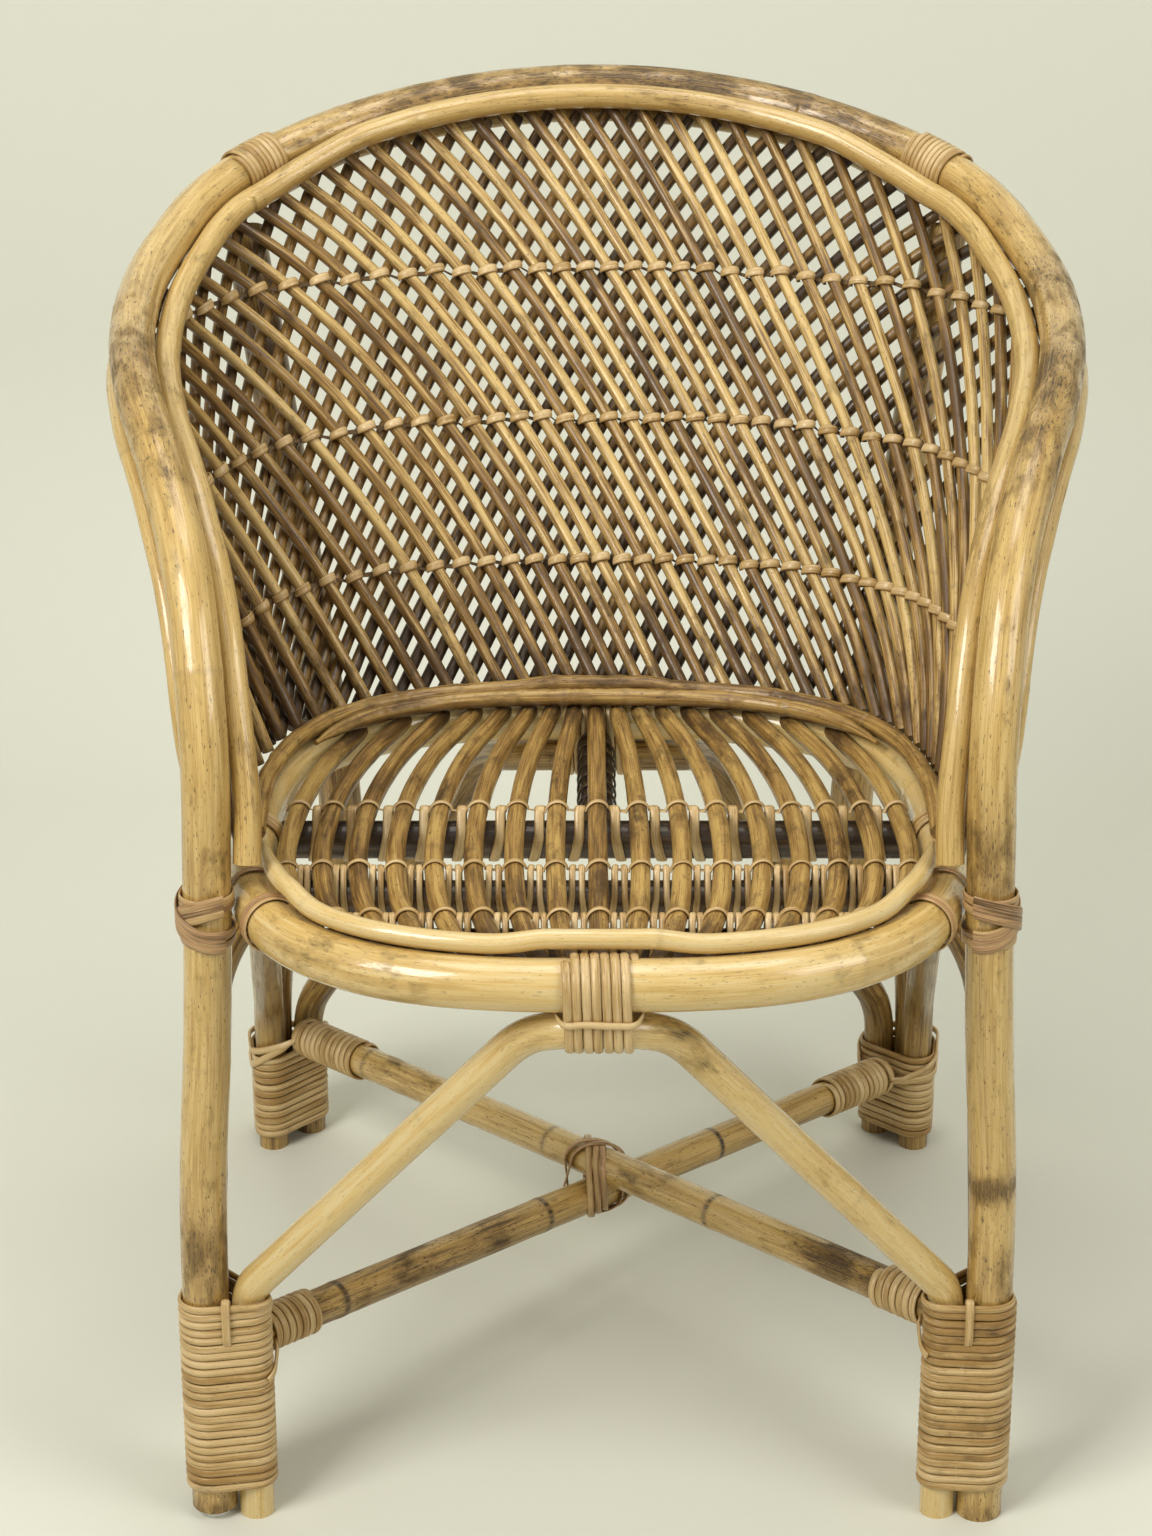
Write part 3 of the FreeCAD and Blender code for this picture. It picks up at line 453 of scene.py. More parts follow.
def hull_turn(sections, stand_off, step):
    """One turn round oval sections: points, facings and lengths in the plane of the turn."""
    angles = np.linspace(0, 2 * math.pi, 145)[:-1]
    cosine, sine = np.cos(angles), np.sin(angles)
    reach = []
    for across, rise, half_across, half_rise in sections:
        reach.append(across * cosine + rise * sine + np.hypot(half_across * cosine, half_rise * sine))
    best = np.argmax(np.array(reach), axis=0)
    ovals = np.array(sections)[best]
    size = np.hypot(ovals[:, 2] * cosine, ovals[:, 3] * sine)
    x = ovals[:, 0] + ovals[:, 2] ** 2 * cosine / size + stand_off * cosine
    y = ovals[:, 1] + ovals[:, 3] ** 2 * sine / size + stand_off * sine
    rows = np.stack((x, y, cosine, sine), 1)
    rows = np.vstack((rows, rows[:1]))
    lengths = run_lengths(rows[:, :2])
    marks = np.linspace(0, lengths[-1], max(12, int(lengths[-1] / step)) + 1)
    return at_lengths(rows, lengths, marks), marks / lengths[-1]


def winding(frame_at, sections_at, stand_off, pitch, turns, chance, dirt=0.0):
    """One unbroken strip wound round sections, each turn with its own shade, its ends tucked in."""
    varied = sections_at(0) != sections_at(pitch * turns)
    rows, shares = hull_turn(sections_at(pitch * turns / 2), stand_off, WINDING_STEP)
    points, facings, tones, soils_and_shade = [], [], [], []
    wave = chance.uniform(0, 6)
    for turn in range(turns):
        shake = chance.uniform(-0.07, 0.07) * pitch
        tone = chance.uniform(0.05, 0.95)
        soil = max(0.0, 0.55 * math.sin(turn * 0.55 + wave)) + chance.uniform(0, 0.2) + dirt
        for share in shares[:-1] if turn < turns - 1 else shares:
            distance = pitch * (turn + share)
            turned = hull_turn(sections_at(distance), stand_off, WINDING_STEP)[0] if varied else rows
            row = turned[int(round(share * (len(turned) - 1)))]
            origin, first, second = frame_at(distance + shake * math.sin(math.pi * share))
            points.append(origin + first * row[0] + second * row[1])
            facings.append(first * row[2] + second * row[3])
            tones.append(tone)
            soils_and_shade.append(soil)
    points, facings = np.array(points), unit(np.array(facings))
    lengths = run_lengths(points)
    tuck = np.clip(1 - np.minimum(lengths, lengths[-1] - lengths) / TUCKED_LENGTH, 0, 1) ** 2
    points -= facings * (tuck * stand_off * 2.2)[:, None]
    return strand(points, 1.0, np.array(tones), facings, soil=np.array(soils_and_shade))


def straight_frame(origin, first, second, wind):
    """Frame that moves along a straight axis."""
    return lambda distance: (origin + wind * distance, first, second)


def frame_along(origin, axis):
    """Frame that moves along a straight pole, its first direction as upright as it can be."""
    axis = unit(axis)
    first = unit(UP - axis * (UP @ axis))
    return straight_frame(origin, first, np.cross(axis, first), axis)


def circle_at(spot, radius):
    """Round section of a pole in the plane of a turn."""
    return (spot[0], spot[1], radius, radius)


def pole_winding(frame_at, radius, stand_off, pitch, turns, chance):
    """Strip wound round a single pole."""
    section = [circle_at((0, 0), radius)]
    return winding(frame_at, lambda distance: section, stand_off, pitch, turns, chance)


def loop(centre, first, second, sections, chance, slant, along):
    """One closed turn of strip, which leans along its axis by a slant."""
    rows, _ = hull_turn(sections, TIE_STAND_OFF, LOOP_STEP)
    rows = rows[:-1]
    lean = rows[:, 2] * slant[0] + rows[:, 3] * slant[1]
    points = centre + rows[:, :1] * first + rows[:, 1:2] * second + lean[:, None] * along
    facing = unit(rows[:, 2:3] * first + rows[:, 3:4] * second)
    return strand(points, 1.0, chance.uniform(0, 1), facing, soil=chance.uniform(0, 0.4), closed=True)


# Sweep and pieces

def strand_mesh(name, strands):
    """Mesh of edges that carries the strands and their values."""
    mesh = bpy.data.meshes.new(name)
    points = np.vstack([row["points"] for row in strands]) * MM
    edges = []
    base = 0
    for row in strands:
        count = len(row["points"])
        edges += [(base + index, base + index + 1) for index in range(count - 1)]
        if row["closed"]:
            edges.append((base + count - 1, base))
        base += count
    mesh.from_pydata(points.tolist(), edges, [])
    for key in ("size", "tone", "joint", "soil", "along"):
        data = mesh.attributes.new(key, "FLOAT", "POINT").data
        data.foreach_set("value", np.concatenate([row[key] for row in strands]).astype(np.float32))
    data = mesh.attributes.new("outward", "FLOAT_VECTOR", "POINT").data
    data.foreach_set("vector", np.vstack([row["outward"] for row in strands]).astype(np.float32).ravel())
    return mesh


def sweep_tree():
    """Node tree that sweeps a round or flat section along strands."""
    name = "Cane sweep"
    if name in bpy.data.node_groups:
        return bpy.data.node_groups[name]
    tree = bpy.data.node_groups.new(name, "GeometryNodeTree")
    sockets = tree.interface
    sockets.new_socket("Strands", in_out="INPUT", socket_type="NodeSocketGeometry")
    for label, kind, default in (("Width", "NodeSocketFloat", 2.0), ("Thickness", "NodeSocketFloat", 2.0),
                                 ("Sides", "NodeSocketInt", 12)):
        sockets.new_socket(label, in_out="INPUT", socket_type=kind).default_value = default
    sockets.new_socket("Material", in_out="INPUT", socket_type="NodeSocketMaterial")
    sockets.new_socket("Swept", in_out="OUTPUT", socket_type="NodeSocketGeometry")
    new, link = tree.nodes.new, tree.links.new
    entry, leave = new("NodeGroupInput"), new("NodeGroupOutput")

    def stored(label, kind):
        node = new("GeometryNodeInputNamedAttribute")
        node.data_type = kind
        node.inputs["Name"].default_value = label
        return node.outputs["Attribute"]

    line = new("GeometryNodeMeshToCurve")
    link(entry.outputs["Strands"], line.inputs["Mesh"])
    turned = new("GeometryNodeSetCurveNormal")
    turned.mode = "FREE"
    link(line.outputs["Curve"], turned.inputs["Curve"])
    link(stored("outward", "FLOAT_VECTOR"), turned.inputs["Normal"])
    circle = new("GeometryNodeCurvePrimitiveCircle")
    circle.inputs["Radius"].default_value = 1.0
    link(entry.outputs["Sides"], circle.inputs["Resolution"])
    around = new("GeometryNodeStoreNamedAttribute")
    around.data_type = "FLOAT_VECTOR"
    around.inputs["Name"].default_value = "around"
    link(circle.outputs["Curve"], around.inputs["Geometry"])
    link(new("GeometryNodeInputPosition").outputs["Position"], around.inputs["Value"])
    halves = new("ShaderNodeCombineXYZ")
    halves.inputs["Z"].default_value = 1.0
    for label, axis in (("Thickness", "X"), ("Width", "Y")):
        link(math_node(tree, "MULTIPLY", entry.outputs[label], 0.5), halves.inputs[axis])
    section = new("GeometryNodeTransform")
    link(around.outputs["Geometry"], section.inputs["Geometry"])
    link(halves.outputs["Vector"], section.inputs["Scale"])
    swept = new("GeometryNodeCurveToMesh")
    swept.inputs["Fill Caps"].default_value = True
    link(turned.outputs["Curve"], swept.inputs["Curve"])
    link(section.outputs["Geometry"], swept.inputs["Profile Curve"])
    link(stored("size", "FLOAT"), swept.inputs["Scale"])
    smooth, flat_ends = new("GeometryNodeSetShadeSmooth"), new("GeometryNodeSetShadeSmooth")
    flat_ends.inputs["Shade Smooth"].default_value = False
    neighbours = new("GeometryNodeInputMeshFaceNeighbors").outputs["Face Count"]
    is_end = math_node(tree, "COMPARE", neighbours, entry.outputs["Sides"], 0.5)
    link(swept.outputs["Mesh"], smooth.inputs["Geometry"])
    link(smooth.outputs["Geometry"], flat_ends.inputs["Geometry"])
    link(is_end, flat_ends.inputs["Selection"])
    real = new("GeometryNodeRealizeInstances")
    paint = new("GeometryNodeSetMaterial")
    link(flat_ends.outputs["Geometry"], real.inputs["Geometry"])
    link(real.outputs["Geometry"], paint.inputs["Geometry"])
    link(entry.outputs["Material"], paint.inputs["Material"])
    link(paint.outputs["Geometry"], leave.inputs["Swept"])
    return tree


def socket_id(tree, label):
    """Identifier of an input of a node tree."""
    for item in tree.interface.items_tree:
        if item.item_type == "SOCKET" and item.in_out == "INPUT" and item.name == label:
            return item.identifier
    raise RuntimeError("the sweep has no input named " + label)


def make_piece(name, nodes, strands, material, width=2.0, thickness=2.0, sides=12):
    """Sweeps strands into one plain mesh that stands for its construction nodes."""
    tree = sweep_tree()
    maker = bpy.data.objects.new(name + ".strands", strand_mesh(name + ".strands", strands))
    bpy.context.scene.collection.objects.link(maker)
    modifier = maker.modifiers.new("Sweep", "NODES")
    modifier.node_group = tree
    values = {"Width": width, "Thickness": thickness, "Sides": sides, "Material": material}
    for label, value in values.items():
        modifier[socket_id(tree, label)] = value
    shape = bpy.data.meshes.new_from_object(maker.evaluated_get(bpy.context.evaluated_depsgraph_get()))
    if not len(shape.polygons):
        raise RuntimeError("the sweep made no faces for " + name)
    maker.modifiers.remove(modifier)
    lines = maker.data
    bpy.data.objects.remove(maker)
    bpy.data.meshes.remove(lines)
    shape.name = name
    shape.materials.clear()
    shape.materials.append(material)
    piece = bpy.data.objects.new(name, shape)
    bpy.context.scene.collection.objects.link(piece)
    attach(piece, "root")
    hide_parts(*nodes)
    return piece


def make_cane(node, strands, material, width, thickness, sides=8):
    """Cane for the construction node of the same name."""
    return make_piece(node + "_cane", [node], strands, material, width, thickness, sides)


# Materials

def attribute(tree, name):
    """Node that reads a value stored on the piece."""
    node = tree.nodes.new("ShaderNodeAttribute")
    node.attribute_name = name
    return node


def figure_group():
    """Shared figure of rattan: streaks that follow the strand, blotches and flecks."""
    name = "Rattan figure"
    if name in bpy.data.node_groups:
        return bpy.data.node_groups[name]
    tree = bpy.data.node_groups.new(name, "ShaderNodeTree")
    sockets = tree.interface
    sockets.new_socket("Girth", in_out="INPUT", socket_type="NodeSocketFloat").default_value = 0.0145
    for label in ("Fine", "Broad", "Blotch", "Fleck", "Tone", "Joint", "Soil"):
        sockets.new_socket(label, in_out="OUTPUT", socket_type="NodeSocketFloat")
    new, link = tree.nodes.new, tree.links.new
    entry, leave = new("NodeGroupInput"), new("NodeGroupOutput")
    around, along, tone = attribute(tree, "around"), attribute(tree, "along"), attribute(tree, "tone")
    girth = new("ShaderNodeVectorMath")
    girth.operation = "SCALE"
    link(around.outputs["Vector"], girth.inputs[0])
    link(entry.outputs["Girth"], girth.inputs["Scale"])
    split = new("ShaderNodeSeparateXYZ")
    link(girth.outputs["Vector"], split.inputs[0])
    apart = math_node(tree, "MULTIPLY", tone.outputs["Fac"], 3.7)
    noises = (("Fine", 1500.0, 70.0, 4.0, 0.6), ("Broad", 300.0, 14.0, 3.0, 0.55),
              ("Blotch", 80.0, 2.0, 4.0, 0.6), ("Fleck", 850.0, 3.5, 3.0, 0.55))
    for label, scale, stretch, detail, roughness in noises:
        drawn = math_node(tree, "DIVIDE", along.outputs["Fac"], stretch)
        spot = new("ShaderNodeCombineXYZ")
        link(split.outputs["X"], spot.inputs["X"])
        link(split.outputs["Y"], spot.inputs["Y"])
        link(math_node(tree, "ADD", drawn, apart), spot.inputs["Z"])
        noise = new("ShaderNodeTexNoise")
        for socket, value in (("Scale", scale), ("Detail", detail), ("Roughness", roughness)):
            noise.inputs[socket].default_value = value
        link(spot.outputs["Vector"], noise.inputs["Vector"])
        link(noise.outputs["Fac"], leave.inputs[label])
    link(tone.outputs["Fac"], leave.inputs["Tone"])
    for label in ("Joint", "Soil"):
        link(attribute(tree, label.lower()).outputs["Fac"], leave.inputs[label])
    return tree


def ramp(tree, source, stops):
    """Colour ramp between stops of position and colour."""
    node = tree.nodes.new("ShaderNodeValToRGB")
    elements = node.color_ramp.elements
    while len(elements) < len(stops):
        elements.new(0.5)
    for element, (position, colour) in zip(elements, stops):
        element.position = position
        element.color = (*colour, 1.0)
    tree.links.new(source, node.inputs["Fac"])
    return node.outputs["Color"]


def spread(tree, source, low, high, to_low=0.0, to_high=1.0):
    """Value moved from one range to another, kept inside it."""
    node = tree.nodes.new("ShaderNodeMapRange")
    for label, value in (("From Min", low), ("From Max", high), ("To Min", to_low), ("To Max", to_high)):
        node.inputs[label].default_value = value
    tree.links.new(source, node.inputs["Value"])
    return node.outputs["Result"]


def math_node(tree, operation, *values):
    """Sum, product or other result of values."""
    node = tree.nodes.new("ShaderNodeMath")
    node.operation = operation
    for socket, value in zip(node.inputs, values):
        if isinstance(value, (int, float)):
            socket.default_value = value
        else:
            tree.links.new(value, socket)
    return node.outputs[0]


def mixed(tree, factor, base, over):
    """Colour laid over another by a mask."""
    node = tree.nodes.new("ShaderNodeMix")
    node.data_type = "RGBA"
    tree.links.new(factor, node.inputs[0])
    for socket, value in ((node.inputs[6], base), (node.inputs[7], over)):
        if isinstance(value, bpy.types.NodeSocket):
            tree.links.new(value, socket)
        else:
            socket.default_value = (*value, 1.0)
    return node.outputs[2]


def rattan_material(name, girth, streaks, stain, patches, gloss, tones, lines=0.5, shade=0.0, coat=0.5,
                    flecks=0.6):
    """Varnished rattan whose figure runs along the strand, with light, middle and deep streaks, and with
    painted shade that darkens faces pointing down towards the deep streaks.
    """
    if name in bpy.data.materials:
        return bpy.data.materials[name]
    light, middle, deep = streaks
    material = bpy.data.materials.new(name)
    material.use_nodes = True
    tree = material.node_tree
    shader = tree.nodes["Principled BSDF"]
    figure = tree.nodes.new("ShaderNodeGroup")
    figure.node_tree = figure_group()
    figure.inputs["Girth"].default_value = girth
    out = figure.outputs
    streak = math_node(tree, "ADD", math_node(tree, "MULTIPLY", out["Fine"], 0.45),
                       math_node(tree, "MULTIPLY", out["Broad"], 0.55))
    streak = math_node(tree, "ADD", streak, spread(tree, out["Tone"], 0, 1, -tones, tones))
    # The stored stain value darkens the colour: real stains, and on the back bindings painted shade between
    # the rods.
    streak = math_node(tree, "SUBTRACT", streak, math_node(tree, "MULTIPLY", out["Soil"], 0.11))
    colour = ramp(tree, streak, ((0.35, deep), (0.46, middle), (0.58, light)))
    thread = spread(tree, out["Fine"], 0.41, 0.33, 0, lines)
    colour = mixed(tree, thread, colour, deep)
    spot = math_node(tree, "ADD", out["Blotch"], math_node(tree, "MULTIPLY", out["Soil"], 0.15))
    patch = spread(tree, spot, 0.62 - patches, 0.82 - patches, 0, 0.9)
    ragged = math_node(tree, "MULTIPLY", patch, spread(tree, out["Fine"], 0.38, 0.56, 0.35, 1.0))
    colour = mixed(tree, ragged, colour, stain)
    fleck = spread(tree, math_node(tree, "ADD", out["Fleck"], math_node(tree, "MULTIPLY", out["Soil"], 0.05)),
                   0.63, 0.69, 0, flecks)
    colour = mixed(tree, fleck, colour, stain)
    ring = math_node(tree, "MULTIPLY", out["Joint"], spread(tree, out["Broad"], 0.38, 0.58, 0.35, 1.0))
    colour = mixed(tree, ring, colour, stain)
    # Painted shade: the further a face points down, the more its colour is mixed towards the deep streaks.
    if shade:
        under = tree.nodes.new("ShaderNodeNewGeometry")
        split = tree.nodes.new("ShaderNodeSeparateXYZ")
        tree.links.new(under.outputs["Normal"], split.inputs[0])
        low = spread(tree, split.outputs["Z"], 0.35, -0.7, 0, shade)
        colour = mixed(tree, low, colour, deep)
    tree.links.new(colour, shader.inputs["Base Color"])
    rough = math_node(tree, "ADD", spread(tree, out["Broad"], 0.3, 0.7, gloss + 0.16, gloss),
                      math_node(tree, "MULTIPLY", patch, 0.2))
    tree.links.new(rough, shader.inputs["Roughness"])
    bump = tree.nodes.new("ShaderNodeBump")
    bump.inputs["Strength"].default_value = 0.4
    bump.inputs["Distance"].default_value = 0.0004
    height = math_node(tree, "ADD", out["Fine"], math_node(tree, "MULTIPLY", out["Broad"], 0.9))
    height = math_node(tree, "SUBTRACT", height, math_node(tree, "MULTIPLY", fleck, 0.8))
    tree.links.new(height, bump.inputs["Height"])
    tree.links.new(bump.outputs["Normal"], shader.inputs["Normal"])
    worn = math_node(tree, "ADD", patch, spread(tree, out["Blotch"], 0.35, 0.62, 0, 0.5))
    tree.links.new(spread(tree, worn, 0, 1, coat, coat * 0.1), shader.inputs["Coat Weight"])
    shader.inputs["Coat Roughness"].default_value = 0.1
    shader.inputs["Specular IOR Level"].default_value = 0.45
    return material


def pole_material(context, kind="golden"):
    """Poles: golden for the hoop and legs, pale for arches and ring, brown for what stands in the shade
    (partly the poles' own colour, partly painted shade), and near black as painted shade for the poles under
    the seat.
    """
    c = context.scene.rattan_colours
    if kind == "pale":
        return rattan_material("pole_pale", 0.0125, (c.cream, c.pale_straw, c.straw), c.stain, patches=-0.03,
                               gloss=0.16, tones=0.03, lines=0.1, shade=0.5, coat=1.0, flecks=0.35)
    # Brown poles: partly their own streaked colour, partly painted shade, as they stand in the shade.
    if kind == "brown":
        return rattan_material("pole_brown", 0.0130, (c.straw, c.honey, c.umber), c.stain, patches=0.03,
                               gloss=0.28, tones=0.05, lines=0.95, shade=0.5, coat=0.5, flecks=0.8)
    # Painted shade: the bearers and spine under the seat are coloured near black.
    if kind == "under_seat_shade":
        return rattan_material("pole_under_seat_shade", 0.0120, (c.umber, c.bark, c.stain), c.stain, patches=0.1,
                               gloss=0.5, tones=-0.06)
    return rattan_material("pole_golden", 0.0145, (c.pale_straw, c.straw, c.honey), c.stain, patches=0.025,
                           gloss=0.2, tones=0.03, lines=0.45, shade=0.5, coat=0.9, flecks=0.75)


def rod_material(context, outer):
    """Lattice rods, the outer layer darker: partly dirt, partly painted shade, as it lies behind the inner
    layer.
    """
    c = context.scene.rattan_colours
    # Dirt and painted shade: the outer layer, seen behind the inner rods, is coloured darker.
    if outer:
        return rattan_material("rod_outer_dirt_and_shade", 0.0042, (c.amber, c.russet, c.bark), c.stain, patches=0.04,
                               gloss=0.42, tones=0.08)
    return rattan_material("rod_inner", 0.0042, (c.pale_straw, c.amber, c.umber), c.stain, patches=0.01,
                           gloss=0.34, tones=0.11, lines=0.8, shade=0.85, coat=0.4)


def slat_material(context):
    """Seat slats and back rails, golden, with painted shade that darkens their undersides."""
    c = context.scene.rattan_colours
    return rattan_material("slat_golden", 0.006, (c.straw, c.amber, c.umber), c.stain, patches=0.07,
                           gloss=0.34, tones=0.08, lines=0.75, shade=0.9, coat=0.35, flecks=0.8)


def cane_material(context, kind):
    """Split cane strips."""
    c = context.scene.rattan_colours
    streaks = {
        "pale": (c.pale_cane, c.cane, c.amber),
        "rosy": (c.cane, c.rosy_cane, c.umber),
        # Painted shade: the strip on the spine under the seat is coloured near black.
        "under_seat_shade": (c.umber, c.bark, c.stain),
    }
    return rattan_material("strip_" + kind, 0.0026, streaks[kind], c.bark, patches=-0.03, gloss=0.34,
                           tones=0.07, lines=0.4, shade=0.3, coat=0.3, flecks=0.3)


def length_property(name, description, value, least):
    """Length in metres with its name, default and least value."""
    return bpy.props.FloatProperty(
        name=name, description=description, default=value, min=least, unit="LENGTH", subtype="DISTANCE")


def colour_property(name, description, value):
    """Colour with its name and default."""
    return bpy.props.FloatVectorProperty(
        name=name, description=description, default=value, size=3, min=0.0, max=1.0, subtype="COLOR")


class RattanSizes(bpy.types.PropertyGroup):
    """Sizes of the cane strips."""
    wrap_width: length_property("Wrap width", "Width of the strip wound round the feet", 0.0053, 0.001)
    wrap_thickness: length_property("Wrap thickness", "Thickness of the strip wound round the feet",
                                    0.0024, 0.0005)
    tie_width: length_property("Tie width", "Width of the flat strips that tie poles together", 0.0046, 0.001)
    tie_thickness: length_property("Tie thickness", "Thickness of the flat strips that tie poles together",
                                   0.0015, 0.0005)
    strand_width: length_property("Strand width", "Width of the strand over the seat slats", 0.0041, 0.001)


class RattanColours(bpy.types.PropertyGroup):
    """Colours of rattan, cane, stage and glide."""
    cream: colour_property("Cream", "Lightest streaks of the arches and the seat ring", (0.73, 0.575, 0.285))
    pale_straw: colour_property("Pale straw", "Lightest streaks of the poles", (0.70, 0.50, 0.19))
    # Honey is the main colour of the brown poles, partly painted shade; it is also the deep streak of the
    # golden poles.
    straw: colour_property("Straw", "Main colour of the poles", (0.56, 0.37, 0.115))
    honey: colour_property("Honey", "Main colour of shaded poles", (0.40, 0.245, 0.07))
    amber: colour_property("Amber", "Main colour of rods and slats", (0.335, 0.19, 0.049))
    # Russet is the main colour of the outer rods, darkened as dirt and as painted shade.
    russet: colour_property("Russet", "Main colour of the outer rods", (0.125, 0.070, 0.021))
    umber: colour_property("Umber", "Dark streaks", (0.115, 0.060, 0.016))
    # Bark is the main colour of the near-black poles under the seat, a painted shade; it also stains the cane
    # and deepens the outer rods.
    bark: colour_property("Bark", "Main colour of the poles under the seat", (0.048, 0.028, 0.011))
    stain: colour_property("Stain", "Stains, flecks and joint rings", (0.036, 0.017, 0.005))
    pale_cane: colour_property("Pale cane", "Light streaks of the cane strips", (0.69, 0.51, 0.26))
    cane: colour_property("Cane", "Main colour of the cane strips", (0.54, 0.37, 0.155))
    rosy_cane: colour_property("Rosy cane", "Main colour of the ties", (0.47, 0.275, 0.125))
    glide: colour_property("Glide", "Plastic of the glide", (0.80, 0.79, 0.75))
    backdrop: colour_property("Backdrop", "Floor and backdrop", (0.74, 0.75, 0.66))


# Poles

def make_pole(context, name, points, radius, seed, material=None, slot="rattan_pole", sides=20, **figure):
    """One rattan pole for the construction node of the same name."""
    chance = np.random.default_rng(seed)
    row = rattan(points, radius, chance, **figure)
    return make_piece(name + "_cane", [name], [row], material or pole_material(context), sides=sides)


def hoop_line():
    """Line of the hoop from the left foot over the back to the right foot."""
    left = [(mirrored(point), -mirrored(way)) for point, way in HOOP_STATIONS[1:]]
    left[-1] = (left[-1][0] + UP * (GLIDE_HEIGHT + GAP), UP)
    return course(left[::-1] + HOOP_STATIONS)


def rim_frame(share):
    """Hoop axis with the outward and downward directions of its lattice."""
    point = rim_at(share)
    ruling = ruling_at(share)
    down = lattice_foot(ruling) - point
    along = rim_direction(share)
    outward = unit(np.cross(down, along))
    if outward @ lattice_normal(ruling * 0.98, 0.9) < 0:
        outward = -outward
    downward = np.cross(outward, along)
    return point, outward, unit(downward if downward @ down > 0 else -downward)


def lining_line(diameter, side):
    """Line of the pole that presses the lattice from one side."""
    points = []
    offset = LATTICE_HALF_THICKNESS + LAYER_GAP + diameter / 2
    for share in np.linspace(-LINING_REACH, LINING_REACH, 61):
        point, outward, downward = rim_frame(share)
        reach = HOOP_RADIUS + diameter / 2 + LAYER_GAP + wrap_lift(share)
        drop = math.sqrt(max(reach * reach - offset * offset, 0))
        points.append(point + outward * (side * offset) + downward * drop)
    return course(stations_through(points))


def rear_leg_line(side):
    """Line of a rear leg from its foot up the outside of the lattice."""
    low = REAR_LEG_ANGLE / LEG_ANGLE / FOOT_CROWDING
    standoff = LATTICE_HALF_THICKNESS + LEG_TO_LATTICE + REAR_LEG_RADIUS
    wrap_top = REAR_WRAP_START + WRAP_PITCH * (REAR_WRAP_TURNS + 1)
    points = [place(REAR_FOOT_X, REAR_FOOT_Y, 0), place(REAR_FOOT_X, REAR_FOOT_Y, wrap_top),
              on_ring(REAR_LEG_ANGLE, -(RING_RADIUS + REAR_LEG_RADIUS + LEG_TO_RING), 0)]
    length = np.linalg.norm(rim_at(rim_share(REAR_LEG_PLACE)) - lattice_foot(REAR_LEG_PLACE))
    top = 1 - (HOOP_RADIUS + 1.5 * OUTER_LINING + 2 * GAP + BAND_ROOM) / length
    for rise in (0.09, 0.23, 0.37, 0.51, 0.65, top):
        ruling = low + (REAR_LEG_PLACE - low) * rise
        points.append(lattice_point(ruling, rise) + lattice_normal(ruling, rise) * standoff)
    if side < 0:
        points = [mirrored(point) for point in points]
    stations = stations_through(points, UP)
    stations[1] = (points[1], UP)
    return course(stations)


def front_bundle(side):
    """Centres of the three poles at a front foot: leg, front arch and side arch."""
    reach = HOOP_RADIUS + ARCH_RADIUS + GAP
    leg = place(side * FOOT_HALF_SPACING, LEG[1], 0)
    return leg, leg - ACROSS * (side * reach), leg + REARWARD * reach


def rear_bundle(side):
    """Centres of the three poles at a rear foot: leg, back arch and side arch."""
    reach = REAR_LEG_RADIUS + ARCH_RADIUS + GAP
    leg = place(side * REAR_FOOT_X, REAR_FOOT_Y, 0)
    return leg, leg - ACROSS * (side * reach), leg - REARWARD * reach


def arch_half(foot, knee_height, top, along, bends):
    """Stations from a foot, round the knee and up a straight slope to the top."""
    level = (top - foot) * np.array((1, 1, 0))
    span = np.linalg.norm(level)
    across = unit(level)
    knee_radius = min(bends[0], 0.5 * span)
    top_radius = min(bends[1], 0.8 * span)
    run = span - knee_radius
    climb = top[2] - top_radius - knee_height
    facing = math.atan2(climb, run) + math.acos((knee_radius - top_radius) / math.hypot(run, climb))
    normal = across * math.cos(facing) + UP * math.sin(facing)
    slope = across * math.sin(facing) - UP * math.cos(facing)
    knee = foot * np.array((1, 1, 0)) + UP * knee_height
    return [(foot, UP), (knee, UP), (knee + across * knee_radius + normal * knee_radius, slope),
            (top - UP * top_radius + normal * top_radius, slope), (top, along)]


def lashed_flat(turns):
    """Half length of the level stretch that a lashing covers."""
    return WRAP_PITCH * turns / 2 + 4.8


def arch_top(angle):
    """Top of an arch brace under the seat ring."""
    return on_ring(angle, 0, -(RING_RADIUS + ARCH_RADIUS + GAP))


def arch_line(start, start_knee, end, end_knee, angle, along, half_flat, bends=BENDS):
    """Line of a brace from one foot up to the ring and down to another foot."""
    top = arch_top(angle)
    rising = arch_half(start, start_knee, top - along * half_flat, along, bends)
    falling = arch_half(end, end_knee, top + along * half_flat, -along, bends)
    return course(rising + [(point, -way) for point, way in falling[::-1]])


def stretcher_ends(side, front_height, rear_height):
    """Axis ends of a stretcher from a front foot to the opposite rear foot."""
    front = front_bundle(side)[0]
    rear = rear_bundle(-side)[0]
    across = unit(rear - front)
    inset = (HOOP_RADIUS + ARCH_RADIUS + GAP) / math.sqrt(2) + ARCH_RADIUS + STRETCHER_END_GAP
    return front + across * inset + UP * front_height, rear - across * inset + UP * rear_height


# Stains of the hoop: a place, a reach and a strength each.
HOOP_STAINS = (
    (-284, 60, 690, 45, 0.7), (-280, -25, 655, 40, 0.8), (-262, -90, 620, 45, 1.0),
    (-205, -215, 440, 35, 0.8), (284, 90, 695, 40, 1.0), (278, -30, 655, 45, 0.8),
    (240, -120, 600, 35, 0.6), (205, -215, 445, 40, 0.9),
    (40, 325, 775, 110, 1.2), (170, 300, 765, 80, 1.2), (-120, 300, 760, 90, 1.1),
    (296, 20, 685, 110, 0.5), (262, -70, 640, 90, 0.5),
    (-234, -233, 178, 35, 1.2), (234, -233, 232, 9, 2.4), (236, -233, 172, 28, 1.0),
    (-236, -233, 5, 20, 1.5), (236, -233, 5, 18, 0.9),
)


